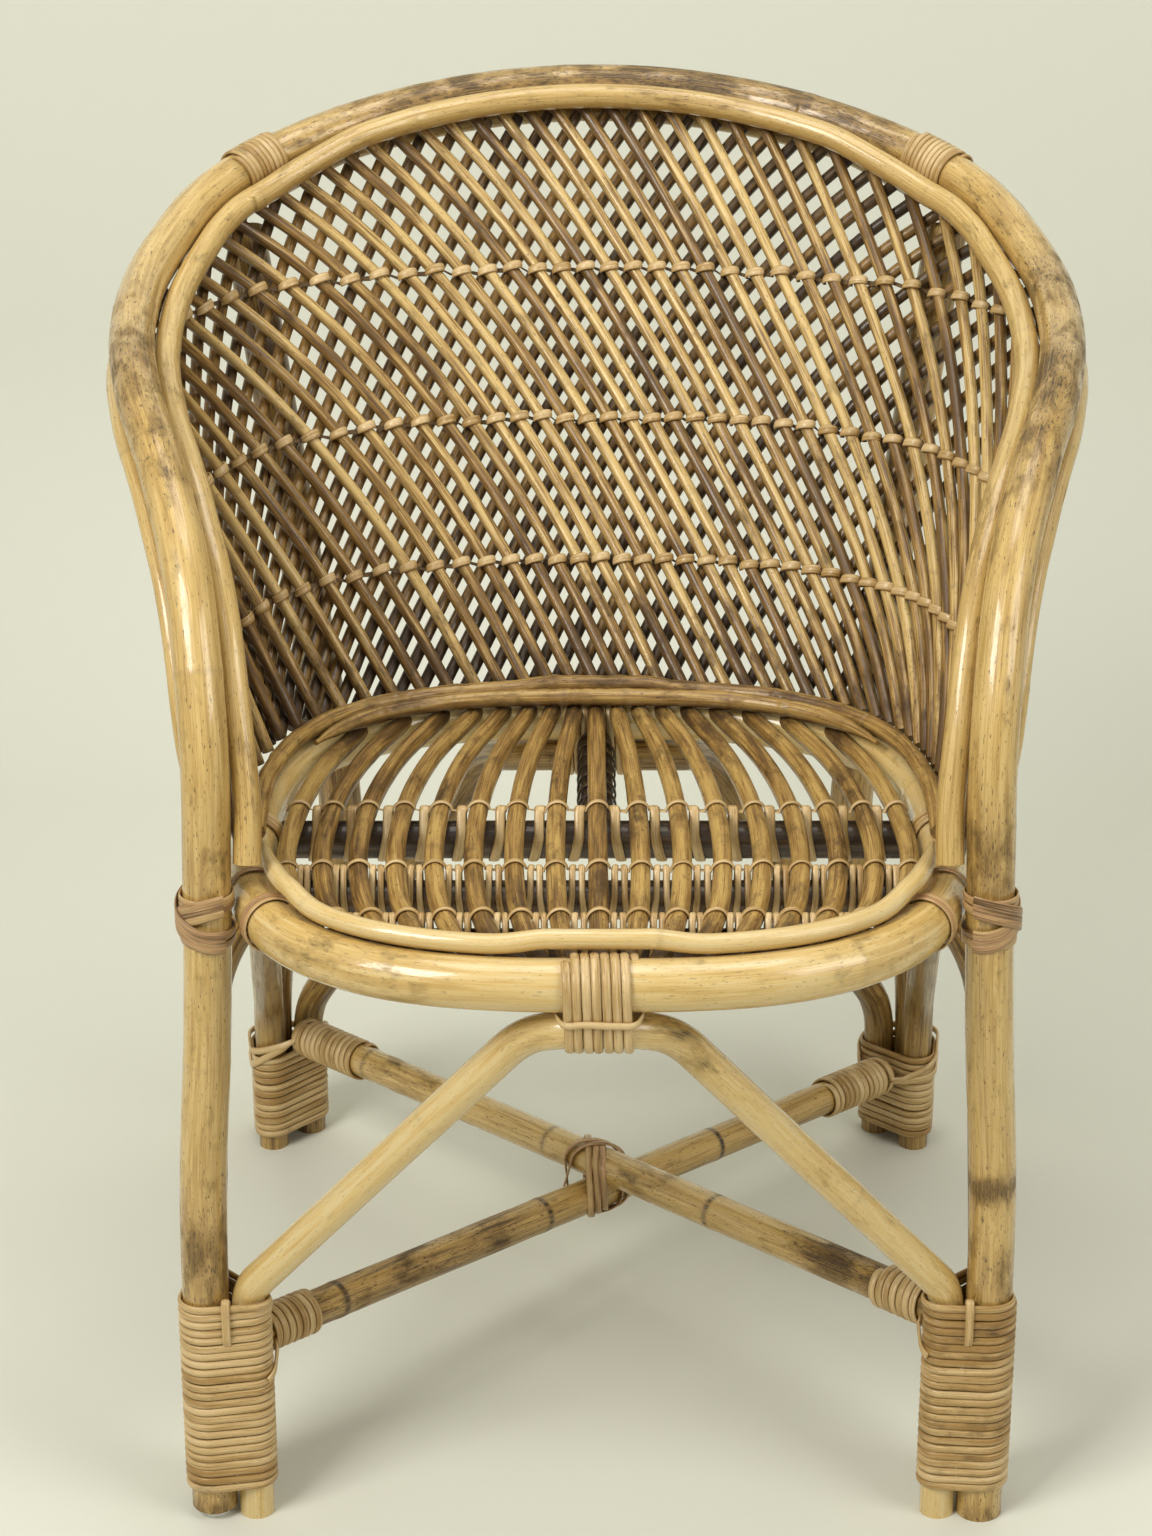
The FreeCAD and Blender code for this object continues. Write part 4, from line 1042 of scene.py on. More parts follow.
class RATTAN_OT_hoop(bpy.types.Operator):
    """Hoop, its linings and the rear legs"""
    bl_idname = "rattan.hoop"
    bl_label = "Hoop and legs"

    def execute(self, context):
        make_pole(context, "hoop_main", hoop_line(), HOOP_RADIUS, 11, sides=26, stains=HOOP_STAINS,
                  tone=0.5, dirt=0.7)
        make_pole(context, "hoop_inner_lining", lining_line(INNER_LINING, -1), INNER_LINING / 2, 12,
                  tone=0.6, spacing=(70.0, 160.0), rings=0.15, dirt=0.7)
        make_pole(context, "hoop_outer_lining", lining_line(OUTER_LINING, 1), OUTER_LINING / 2, 13, sides=16)
        brown = pole_material(context, "brown")
        make_pole(context, "rear_leg_left", rear_leg_line(-1), REAR_LEG_RADIUS, 14, brown, dirt=0.6)
        make_pole(context, "rear_leg_right", rear_leg_line(1), REAR_LEG_RADIUS, 15, brown, dirt=0.8)
        return {"FINISHED"}


class RATTAN_OT_braces(bpy.types.Operator):
    """Arch braces and crossed stretchers"""
    bl_idname = "rattan.braces"
    bl_label = "Braces and stretchers"

    def execute(self, context):
        left, right = front_bundle(-1), front_bundle(1)
        rear_left, rear_right = rear_bundle(-1), rear_bundle(1)
        pale, brown = pole_material(context, "pale"), pole_material(context, "brown")
        make_pole(context, "arch_front",
                  arch_line(left[1], FRONT_KNEE, right[1], FRONT_KNEE, 180, ACROSS, FRONT_HALF_FLAT,
                            FRONT_BENDS),
                  ARCH_RADIUS, 21, pale, spacing=(260.0, 420.0),
                  stains=((-45, -322, 366, 26, 0.9), (40, -322, 366, 30, 1.0), (75, -310, 345, 35, 0.8),
                          (150, -262, 250, 60, 0.6), (-205, -236, 140, 30, 0.6), (205, -236, 140, 30, 0.7)))
        arches = (
            ("arch_back", rear_left[1], REAR_KNEE, rear_right[1], REAR_KNEE, 0, ACROSS, LONG_LASHING),
            ("arch_left", left[2], SIDE_KNEE, rear_left[2], REAR_KNEE, -90, REARWARD, SHORT_LASHING),
            ("arch_right", right[2], SIDE_KNEE, rear_right[2], REAR_KNEE, 90, REARWARD, SHORT_LASHING),
        )
        for seed, (name, *course_of, turns) in enumerate(arches):
            line = arch_line(*course_of, lashed_flat(turns))
            make_pole(context, name, line, ARCH_RADIUS, 22 + seed, brown, sides=18, dirt=0.5)
        scorched = ((150, -150, 120, 30, 2.0), (188, -188, 124, 24, 2.6), (30, -20, 108, 40, 0.7),
                    (-120, 150, 96, 50, 0.4))
        streaked = ((-190, -190, 105, 40, 0.9), (-120, -120, 98, 50, 0.8), (-60, -60, 94, 30, 0.6))
        for seed, (name, sizes, stains) in enumerate((("stretcher_upper", UPPER_STRETCHER, scorched),
                                                      ("stretcher_lower", LOWER_STRETCHER, streaked))):
            ends = np.array(stretcher_ends(*sizes))
            make_pole(context, name, ends, STRETCHER_RADIUS, 31 + seed, brown if seed else None,
                      spacing=(150.0, 210.0), swell=0.03, stains=stains, dirt=0.4, rings=1.7)
        return {"FINISHED"}


class RATTAN_OT_seat_frame(bpy.types.Operator):
    """Seat ring, cap, back rails, bearers and spine"""
    bl_idname = "rattan.seat_frame"
    bl_label = "Seat frame"

    def execute(self, context):
        pale, under_seat_shade = (pole_material(context, kind) for kind in ("pale", "under_seat_shade"))
        ring = course([(ring_axis(angle), ring_direction(angle)) for angle in np.linspace(0.05, 359.95, 49)])
        make_pole(context, "seat_ring", ring, RING_RADIUS, 41, pale, sides=26, tone=0.4,
                  stains=((-110, -318, 398, 40, 0.9), (-160, -290, 395, 35, 1.0), (150, -300, 398, 40, 0.8),
                          (60, -326, 392, 35, 0.5), (195, -240, 400, 35, 0.9), (-195, -240, 400, 30, 0.7)))
        reach = RING_RADIUS + CAP_RADIUS + GAP
        rise = math.sqrt(reach ** 2 - CAP_INWARD ** 2)
        cap = beside_ring(CAP_RADIUS, CAP_INWARD, rise, CAP_FIRST_ANGLE, 360 - CAP_FIRST_ANGLE, 52)
        make_pole(context, "seat_front_cap", cap, CAP_RADIUS, 42, pale, sides=18, taper=45.0, tone=0.75,
                  dirt=0.15)
        upper_rise = math.sqrt(reach ** 2 - UPPER_RAIL_INWARD ** 2)
        upper = beside_ring(RAIL_RADIUS, UPPER_RAIL_INWARD, upper_rise, -UPPER_RAIL_ANGLE,
                            UPPER_RAIL_ANGLE, 68)
        rails = {"sides": 18, "spacing": (32.0, 75.0), "step": 3.0, "scars": 0.05, "swell": 0.06, "dirt": 0.7,
                 "rings": 0.35}
        golden = slat_material(context)
        make_pole(context, "seat_back_rail_upper", upper, RAIL_RADIUS, 43, golden, **rails)
        lower = beside_ring(RAIL_RADIUS, *LOWER_RAIL_OFFSET, -LOWER_RAIL_ANGLE, LOWER_RAIL_ANGLE, 32)
        make_pole(context, "seat_back_rail_lower", lower, RAIL_RADIUS, 44, golden, taper=50.0, **rails)
        # The bearers and the spine take the near-black material, painted shade under the seat.
        for seed, (name, y) in enumerate(BEARERS.items()):
            end = ring_axis(ring_angle_at(y))[0] - ARCH_RADIUS - LAYER_GAP
            line = np.array((place(-end, y, BEARER_HEIGHT), place(end, y, BEARER_HEIGHT)))
            make_pole(context, "bearer_" + name, line, BEARER_RADIUS, 45 + seed, under_seat_shade, sides=16)
        make_pole(context, "centre_spine", np.array(spine_ends()), SPINE_RADIUS, 49, under_seat_shade, sides=16)
        return {"FINISHED"}


def spine_ends():
    """Ends of the short spine from the back of the ring to the rear bearer."""
    height = SLAT_HEIGHT - SLAT_RADIUS - 3.0 - SPINE_RADIUS
    back = ring_axis(0)[1] - RING_RADIUS - 3.0 - GAP
    return place(0, back, height), place(0, BEARERS["rear"] + BEARER_RADIUS + GAP, height)


# Seat slats

def flank_point(x, rearward):
    """Point inside the ring's tube at a given X, on the back or front half."""

    def inside(angle):
        return on_ring(angle, RING_RADIUS / 2, 0)

    point = inside(halved(0.0 if rearward else 180.0, 90.0, 40, lambda angle: inside(angle)[0] < x))
    return place(point[0], point[1], SLAT_HEIGHT)


def slat_ends(rank):
    """Back and front end of a slat of the right half."""
    (back, back_growth), (front, front_growth) = SLAT_BACK_SPACING, SLAT_FRONT_SPACING
    return (flank_point(back * rank + back_growth * rank ** 3, True),
            flank_point(front * rank + front_growth * rank ** 3, False))


def slat_x(rank, y):
    """Sideways place of a slat of the right half at a given Y."""
    back, front = slat_ends(rank)
    middle = SLAT_MIDDLE_SPACING[0] * rank - SLAT_MIDDLE_SPACING[1] * rank * rank
    end, power = (back, 2) if y > SLAT_MIDDLE_Y else (front, 3)
    share = (y - SLAT_MIDDLE_Y) / (end[1] - SLAT_MIDDLE_Y)
    return middle + (end[0] - middle) * share ** power


def slat_points(rank):
    """Axis points of a slat, from the back to the front."""
    side = abs(rank)
    back, front = slat_ends(side)
    rows = list(BEARERS.values())
    rows = [(back[1] + rows[0]) / 2] + rows + [(front[1] + rows[-1]) / 2]
    points = [back] + [place(slat_x(side, y), y, SLAT_HEIGHT) for y in rows] + [front]
    return [mirrored(point) for point in points] if rank < 0 else points


def slat_ranks():
    """Ranks of the slats from left to right, zero in the middle."""
    return range(-SLAT_HALF_COUNT, SLAT_HALF_COUNT + 1)


class RATTAN_OT_slats(bpy.types.Operator):
    """Seat slats"""
    bl_idname = "rattan.slats"
    bl_label = "Seat slats"

    def execute(self, context):
        material = slat_material(context)
        for rank in slat_ranks():
            name = "seat_slat_%02d" % (rank + SLAT_HALF_COUNT + 1)
            line = course(stations_through(slat_points(rank)))
            back, front = line[0], line[-1]
            stains = ((*back, 30, 0.8), (*front, 42, 1.0))
            make_pole(context, name, line, SLAT_RADIUS, 60 + rank, material, "rattan_slat", 16,
                      spacing=(130.0, 300.0), stains=stains, dirt=0.9)
        return {"FINISHED"}


class RATTAN_OT_lattice(bpy.types.Operator):
    """Two layers of leaning rods in the back"""
    bl_idname = "rattan.lattice"
    bl_label = "Back lattice"

    def execute(self, context):
        layers = (("back_rods_inner", ROD_LEAN, -1, 81), ("back_rods_outer", -ROD_LEAN, 1, 82))
        for name, lean, side, seed in layers:
            chance = np.random.default_rng(seed)
            rods = []
            for spot in rod_spots():
                top = rod_top(spot, lean, side)
                points = [rod_axis(spot, lean, side, top * part / ROD_PARTS) for part in range(ROD_PARTS + 1)]
                if np.linalg.norm(points[-1] - points[0]) > SHORTEST_ROD:
                    line = course(stations_through(points))
                    low = np.clip((560 - line[:, 2]) / 180, 0, 1).mean()
                    dirt = 0.35 + 0.5 * low + chance.uniform(0, 0.5)
                    stains = ((*line[0], 60, 0.9), (*line[-1], 25, 0.8))
                    rods.append(rattan(line, ROD_RADIUS, chance, spacing=(150.0, 380.0), step=6.0,
                                       swell=0.035, stains=stains, dirt=dirt))
            material = rod_material(context, side > 0)
            make_piece(name + "_cane", [name], rods, material, sides=10)
        return {"FINISHED"}


# Bindings

def rise_at_height(spot, height):
    """Height share at which an inner rod reaches a level."""
    return halved(0.0, 1.0, 24, lambda rise: rod_axis(spot, ROD_LEAN, -1, rise)[2] < height)


def back_binding_strand(height, thickness, chance):
    """Strip that wraps each inner rod in turn and passes behind the gaps."""
    spots = []
    for spot in rod_spots():
        rise = rise_at_height(spot, height)
        if rise < rod_top(spot, ROD_LEAN, -1) - 0.06:
            ruling = rod_ruling(spot, ROD_LEAN, rise)
            way = unit(rod_axis(spot, ROD_LEAN, -1, rise + 0.02) - rod_axis(spot, ROD_LEAN, -1, rise - 0.02))
            spots.append((rod_axis(spot, ROD_LEAN, -1, rise), -lattice_normal(ruling, rise), way))
    centres = np.array([row[0] for row in spots])
    rows = unit(np.gradient(centres, axis=0))
    points, facings, sizes, soils_and_shade, tones = [], [], [], [], []
    reach = ROD_RADIUS + thickness / MM / 2 + 0.2
    for (centre, inward, way), row in zip(spots, rows):
        row = unit(row - inward * (row @ inward))
        upright = np.cross(row, inward)
        half = reach / max(abs(way @ upright), 0.6)
        drop = chance.uniform(-1.5, 1.5)
        tone = chance.uniform(0, 1)
        for turn in np.radians(np.linspace(-122, 122, 19)):
            lean = UP * (drop + 1.3 * math.sin(turn))
            points.append(centre + inward * (reach * math.cos(turn)) + row * (half * math.sin(turn)) + lean)
            facings.append(unit(inward * math.cos(turn) + row * math.sin(turn)))
            front = max(0.0, math.cos(turn * 0.8)) ** 0.5
            sizes.append(0.55 + 0.45 * front)
            # Painted shade: the strip is darkened where it turns back between the rods.
            soils_and_shade.append(8.0 * max(0.0, 0.5 - front))
            tones.append(tone)
    return strand(np.array(points), np.array(sizes), np.array(tones), np.array(facings), soil=np.array(soils_and_shade))


class RATTAN_OT_back_bindings(bpy.types.Operator):
    """Cane bindings across the back"""
    bl_idname = "rattan.back_bindings"
    bl_label = "Back bindings"

    def execute(self, context):
        sizes = context.scene.rattan_sizes
        for seed, (name, height) in enumerate(BACK_BINDING_HEIGHTS.items()):
            chance = np.random.default_rng(91 + seed)
            row = back_binding_strand(height, sizes.tie_thickness, chance)
            make_cane("back_binding_" + name, [row], cane_material(context, "pale"), sizes.tie_width * 1.35,
                      sizes.tie_thickness)
        return {"FINISHED"}


def seat_binding_strand(name, chance):
    """Strand over the slats at one bearer that dips between them."""
    row = 2 + list(BEARERS).index(name)
    spots = [slat_points(rank)[row] for rank in slat_ranks()]
    reach = ring_axis(ring_angle_at(spots[0][1]))[0] - CAP_INWARD - 2 * CAP_RADIUS
    spots = [spot for spot in spots if abs(spot[0]) < reach]
    radius = SLAT_RADIUS + 1.0
    points, facings = [], []
    for spot in spots:
        drift = chance.uniform(-0.8, 0.8)
        for turn in np.radians(np.linspace(-82, 82, 13)):
            points.append(spot + ACROSS * (radius * math.sin(turn)) + UP * (radius * math.cos(turn))
                          + REARWARD * (drift + 1.2 * math.sin(turn)))
            facings.append(ACROSS * math.sin(turn) + UP * math.cos(turn))
    return strand(np.array(points), 1.0, chance.uniform(0, 1), np.array(facings)), spots


def seat_binding_ties(spots, paired, chance):
    """Strips that go down between the slats and round the bearer, in pairs or single and leaning out."""
    ties = []
    drop = SLAT_HEIGHT - BEARER_HEIGHT
    sections = [circle_at((0, 0), BEARER_RADIUS), circle_at((0, drop + 1.5), 1.2)]
    for left, right in zip(spots, spots[1:]):
        middle = (left + right) / 2
        room = max(right[0] - left[0] - 2 * SLAT_RADIUS, 5.0)
        if paired:
            for side in (-1, 1):
                near = min(2.2, room * 0.2)
                far = min(5.4, room * 0.46)
                centre = place(middle[0] + side * (near + far) / 2, middle[1], BEARER_HEIGHT)
                lean = -side * (far - near) / 2 + chance.uniform(-0.4, 0.4)
                ties.append(loop(centre, REARWARD, UP, sections, chance, (0.0, lean), ACROSS))
        else:
            lean = -math.copysign(min(2.6, room * 0.22), middle[0] + 0.01) + chance.uniform(-0.5, 0.5)
            centre = place(middle[0], middle[1], BEARER_HEIGHT)
            ties.append(loop(centre, REARWARD, UP, sections, chance, (0.0, lean), ACROSS))
    return ties


class RATTAN_OT_seat_bindings(bpy.types.Operator):
    """Cane bindings over the seat slats"""
    bl_idname = "rattan.seat_bindings"
    bl_label = "Seat bindings"

    def execute(self, context):
        sizes = context.scene.rattan_sizes
        for seed, name in enumerate(BEARERS):
            chance = np.random.default_rng(101 + seed)
            node = "seat_binding_" + name
            row, spots = seat_binding_strand(name, chance)
            pale = cane_material(context, "pale")
            make_piece(node + "_strand", [node], [row], pale,
                       sizes.strand_width, sizes.tie_thickness, 8)
            paired = name != "rear"
            make_piece(node + "_ties", [node], seat_binding_ties(spots, paired, chance), pale,
                       sizes.tie_width * (0.82 if paired else 1.35), sizes.tie_thickness, 8)
        return {"FINISHED"}


# Windings

def foot_wrap(bundle, leg_radius, start, turns, knee, bends, top, stand_off, chance, dirt=0.0):
    """Strip round the three poles of a foot, which follows the knee of the inner arch."""
    leg, inner, beside = bundle
    across = unit((top - inner) * np.array((1, 1, 0)))

    def sections_at(distance):
        above = max(0.0, start + distance + 4.4 - knee)
        lean = bends[0] - math.sqrt(bends[0] ** 2 - above ** 2)
        return [circle_at(leg, leg_radius), circle_at(inner + across * lean, ARCH_RADIUS + lean / 4),
                circle_at(beside, ARCH_RADIUS)]

    base = straight_frame(place(0, 0, start), ACROSS, REARWARD, UP)
    return winding(base, sections_at, stand_off, WRAP_PITCH, turns, chance, dirt=dirt)


def upright_strap(side, chance):
    """Short strip over the top turns of a front foot, between leg and arch."""
    leg, inner, _ = front_bundle(side)
    high = FRONT_WRAP_START + WRAP_PITCH * FRONT_WRAP_TURNS
    x = (leg[0] * ARCH_RADIUS + inner[0] * HOOP_RADIUS) / (ARCH_RADIUS + HOOP_RADIUS) + side * 1.5
    front = leg[1] - (HOOP_RADIUS + ARCH_RADIUS) / 2 - 3.9
    outline = ((7.5, -2.0), (5.0, 2.6), (1.4, 3.8), (0.0, 1.0), (-0.4, -8.0), (-0.4, -15.0), (-0.2, -21.0),
               (1.8, -26.0))
    points = [place(x, front + inward, high + rise) for inward, rise in outline]
    line = course(stations_through(points), 2.0)
    ways = unit(np.gradient(line, axis=0))
    facings = unit(np.cross(np.broadcast_to(ACROSS, ways.shape), -ways))
    return strand(line, 1.0, chance.uniform(0.3, 0.8), facings)


def foot_straps(bundle, leg_radius, stretcher, levels, start, chance):
    """Strips that tie the end of a stretcher to a foot, each over or under it, open before the start."""
    leg, inner, beside = bundle
    near, far = stretcher
    axis = unit(far - near)
    first = unit(axis * np.array((1, 1, 0)))
    second = np.cross(UP, first)
    spot = near + axis * 5.0
    reach = (spot - leg) @ first
    drape = STRETCHER_RADIUS + TIE_STAND_OFF
    wrap = 2.6
    sections = [circle_at((0.0, 0.0), leg_radius + wrap), circle_at((reach, 0.0), STRETCHER_RADIUS)]
    for pole in (inner, beside):
        sections.append(circle_at(((pole - leg) @ first, (pole - leg) @ second), ARCH_RADIUS + wrap))
    turned, _ = hull_turn(sections, TIE_STAND_OFF, LOOP_STEP)
    turned = turned[turned[:, 0] < reach - 2.0]
    turns = np.radians(np.linspace(-84, 84, 13))
    straps = []
    for level, way in levels:
        rise = level + (spot[2] - level) * np.clip(turned[:, 0] / reach, 0, 1) ** 1.5
        level_rows = turned[:, :1] * first + turned[:, 1:2] * second
        rows = leg * np.array((1, 1, 0)) + level_rows + rise[:, None] * UP
        facings = unit(turned[:, 2:3] * first + turned[:, 3:4] * second)
        over = np.outer(np.sin(turns), second) + np.outer(np.cos(turns) * way, UP)
        left, right = turned[:, 1] > 0, turned[:, 1] <= 0
        if start is not None:
            left, right = left & (turned[:, 0] > start), right & (turned[:, 0] > start)
        points = np.vstack((rows[right], spot + over * drape, rows[left]))
        faces = np.vstack((facings[right], over, facings[left]))
        straps.append(strand(points, 1.0, chance.uniform(0.3, 0.9), faces, soil=0.1, closed=start is None))
    return straps


class RATTAN_OT_wraps(bpy.types.Operator):
    """Cane wound round the feet and the stretcher ends"""
    bl_idname = "rattan.wraps"
    bl_label = "Foot and stretcher wraps"

    def execute(self, context):
        sizes = context.scene.rattan_sizes
        material = cane_material(context, "pale")
        flat = {"width": sizes.wrap_width, "thickness": sizes.wrap_thickness}
        stand_off = sizes.wrap_thickness / MM / 2 + 0.3
        chance = np.random.default_rng(111)
        ends = {}
        for stretcher in (UPPER_STRETCHER, LOWER_STRETCHER):
            front, rear = stretcher_ends(*stretcher)
            ends["front", stretcher[0]] = (front, rear)
            ends["rear", -stretcher[0]] = (rear, front)
        for name, side in (("left", -1), ("right", 1)):
            front, rear = front_bundle(side), rear_bundle(side)
            dirt = 0.5 if side > 0 else 0.0
            wound = [foot_wrap(front, HOOP_RADIUS, FRONT_WRAP_START, FRONT_WRAP_TURNS, FRONT_KNEE,
                               FRONT_BENDS, arch_top(180), stand_off, chance, dirt),
                     upright_strap(side, chance)]
            ties = ends["front", side]
            wound += foot_straps(front, HOOP_RADIUS, ties, ((ties[0][2] - 16, -1),), 17.0, chance)
            make_cane("foot_wrap_front_" + name, wound, material, **flat)
            wound = [foot_wrap(rear, REAR_LEG_RADIUS, REAR_WRAP_START, REAR_WRAP_TURNS, REAR_KNEE, BENDS,
                               arch_top(0), stand_off, chance)]
            ties = ends["rear", side]
            high = REAR_WRAP_START + WRAP_PITCH * REAR_WRAP_TURNS
            wound += foot_straps(rear, REAR_LEG_RADIUS, ties, ((high + 2, 1), (high - 12, -1)), None, chance)
            make_cane("foot_wrap_rear_" + name, wound, material, **flat)
        wound = []
        for stretcher in (UPPER_STRETCHER, LOWER_STRETCHER):
            front, rear = stretcher_ends(*stretcher)
            axis = unit(rear - front)
            for origin, heading, turns in zip((front, rear), (axis, -axis), STRETCHER_WRAP_TURNS):
                along = frame_along(origin + heading * STRETCHER_WRAP_START, heading)
                wound.append(pole_winding(along, STRETCHER_RADIUS, stand_off, WRAP_PITCH, turns, chance))
        make_cane("stretcher_wraps", wound, material, **flat)
        return {"FINISHED"}


def hoop_wrap_frame(side):
    """Frame along the hoop for the wrap on one side."""
    half = HOOP_WRAP_PITCH * HOOP_WRAP_TURNS / 2

    def frame_at(distance):
        share = side * HOOP_WRAP_PLACE + (distance - half) / RIM_LENGTH
        along = rim_direction(share)
        first = unit(UP - along * (UP @ along))
        return rim_at(share), first, np.cross(along, first)

    return frame_at


def arch_lashing(angle, turns, stand_off, half_flat, bend, swing, chance):
    """Strip that ties an arch to the ring and follows the arch down beside its level stretch."""
    along = ring_direction(angle)
    half = WRAP_PITCH * turns / 2
    start = ring_axis(angle) - along * half
    drop = RING_RADIUS + ARCH_RADIUS + GAP

    def sections_at(distance):
        beyond = max(0.0, abs(distance - half) + 2.4 - half_flat)
        sag = bend - math.sqrt(bend ** 2 - beyond ** 2)
        radius = ARCH_RADIUS + sag / 3
        return [circle_at((0, 0), RING_RADIUS), circle_at((-drop - sag, sag * swing), radius)]

    spun = straight_frame(start, UP, np.cross(along, UP), along)
    return winding(spun, sections_at, stand_off, WRAP_PITCH, turns, chance)


def joint_strand(turns, chance):
    """Thin strand across the front lashing, between ring and arch."""
    middle = ring_axis(180)
    half = WRAP_PITCH * turns / 2
    outline = ((-half - 5.0, 8.0, -1.0), (-half - 4.2, -6.0, -0.4), (-half + 1.0, -16.2, 0.0),
               (-half / 2, -16.9, 0.8), (half / 2, -16.9, 0.2), (half - 1.0, -16.2, 0.0),
               (half + 4.2, -6.0, 0.6), (half + 5.0, 8.0, 1.0))
    points = [middle + place(x, y, z - RING_RADIUS - 1.5) for x, y, z in outline]
    line = course(stations_through(points), 2.0)
    facing = np.stack((line[:, 0] * 0.02, np.full(len(line), -1.0), np.zeros(len(line))), 1)
    return strand(line, 0.8, chance.uniform(0.5, 1.0), unit(facing))


def ring_lashing(side, chance):
    """Strips that tie the seat ring to a front leg: bands, a cross and ring turns."""
    leg = LEG if side > 0 else mirrored(LEG)
    angle = side * LEG_ANGLE
    out = unit(leg - ring_axis(angle))
    beside = np.cross(UP, out)
    around_leg, around_ring = [circle_at((0, 0), HOOP_RADIUS)], [circle_at((0, 0), RING_RADIUS)]
    ties = []
    for rise in (8.4, 12.8, -8.4, -12.8):
        slant = (chance.uniform(-0.5, 0.5), chance.uniform(-1.4, 1.4))
        ties.append(loop(leg + UP * rise, out, beside, around_leg, chance, slant, UP))
    for way, reach in ((1, HOOP_RADIUS + 2.2), (-1, HOOP_RADIUS + 3.4)):
        for shift in (-4.4, 0.0, 4.4):
            turns = np.radians(np.linspace(-112, 112, 33))
            facings = np.outer(np.cos(turns), out) + np.outer(np.sin(turns), beside)
            rises = way * 11 * np.sin(turns * 90 / 112) + shift
            line = leg + facings * reach + rises[:, None] * UP
            ties.append(strand(line, 1.0, chance.uniform(0, 1), facings, soil=0.2))
    ring_reach = np.linalg.norm(ring_axis(angle) - place(0, RING_CENTRE_Y, RING_HEIGHT))
    for shift in (19.0, 23.8, -19.0):
        spot = angle + side * math.degrees(shift / ring_reach)
        slant = (chance.uniform(-1, 1), 0.0)
        ties.append(loop(ring_axis(spot), ring_outward(spot), UP, around_ring, chance, slant,
                         ring_direction(spot)))
    return ties


def cross_lashing(first, first_axis, second, second_axis, radius, stand_off, turns, chance):
    """Strip on the diagonal that ties two crossing poles."""
    between = unit(second - first)
    first_axis = unit(first_axis - between * (first_axis @ between))
    second_axis = unit(second_axis - between * (second_axis @ between))
    rise = unit(first_axis + second_axis)
    wind = np.cross(between, rise)
    half = CROSS_PITCH * turns / 2
    spacing = np.linalg.norm(second - first)

    def sections_at(distance):
        rows = []
        for across, axis in ((0, first_axis), (spacing, second_axis)):
            slant = (axis @ rise) / (axis @ wind)
            half_rise = radius / abs(axis @ wind) + 0.4
            rows.append((across, (distance - half) * slant, radius + 0.4, half_rise))
        return rows

    spun = straight_frame(first - wind * half, between, rise, wind)
    return winding(spun, sections_at, stand_off, CROSS_PITCH, turns, chance)


def stretcher_lashing(chance):
    """Two crossed diagonal ties where the stretchers meet."""
    upper, lower = stretcher_ends(*UPPER_STRETCHER), stretcher_ends(*LOWER_STRETCHER)
    upper_axis, lower_axis = unit(upper[1] - upper[0]), unit(lower[1] - lower[0])
    over = upper[0] + upper_axis * (-upper[0][0] / upper_axis[0])
    under = lower[0] + lower_axis * (-lower[0][0] / lower_axis[0])
    return [cross_lashing(over, upper_axis, under, lower_axis, STRETCHER_RADIUS, 0.8, 3, chance),
            cross_lashing(over, upper_axis, under, -lower_axis, STRETCHER_RADIUS, 2.2, 2, chance)]


class RATTAN_OT_lashings(bpy.types.Operator):
    """Cane that ties ring, arches, stretchers and hoop"""
    bl_idname = "rattan.lashings"
    bl_label = "Lashings"

    def execute(self, context):
        sizes = context.scene.rattan_sizes
        pale, rosy, under_seat_shade = (cane_material(context, kind) for kind in ("pale", "rosy", "under_seat_shade"))
        tie = {"width": sizes.tie_width, "thickness": sizes.tie_thickness}
        round_tie = {"width": sizes.tie_width * 1.14, "thickness": sizes.tie_width * 0.62, "sides": 10}
        chance = np.random.default_rng(121)
        slope = arch_top(180) - front_bundle(1)[1]
        swing = slope[1] / slope[0]
        ring_off = sizes.tie_width * 0.31 / MM - 0.1
        for name, angle, turns in (("front", 180, LONG_LASHING), ("back", 0, LONG_LASHING),
                                   ("left", -90, SHORT_LASHING), ("right", 90, SHORT_LASHING)):
            if name == "front":
                bend = FRONT_BENDS[1] * LASHED_BEND_SHARE
                rows = [arch_lashing(angle, turns, ring_off, FRONT_HALF_FLAT, bend, swing, chance),
                        joint_strand(turns, chance)]
            else:
                rows = [arch_lashing(angle, turns, ring_off, lashed_flat(turns), BENDS[1], 0.0, chance)]
            make_cane("arch_lashing_" + name, rows, pale, **round_tie)
        for name, side in (("left", -1), ("right", 1)):
            make_cane("ring_lashing_" + name, ring_lashing(side, chance), rosy, sizes.tie_width * 1.15,
                      sizes.tie_thickness)
        make_cane("stretcher_cross_lashing", stretcher_lashing(chance), rosy, **tie)
        rows = [pole_winding(hoop_wrap_frame(side), HOOP_RADIUS, HOOP_WRAP_STAND_OFF, HOOP_WRAP_PITCH,
                             HOOP_WRAP_TURNS, chance) for side in (-1, 1)]
        make_cane("hoop_wraps", rows, pale, *HOOP_WRAP_STRIP)
        back, front = spine_ends()
        axis = unit(front - back)
        along = frame_along(back + axis * SPINE_WRAP_START, axis)
        row = pole_winding(along, SPINE_RADIUS, TIE_STAND_OFF, SPINE_WRAP_PITCH, SPINE_WRAP_TURNS, chance)
        # The spine wrap takes the near-black strip, painted shade under the seat.
        make_cane("centre_spine_wrap", [row], under_seat_shade, **tie)
        return {"FINISHED"}


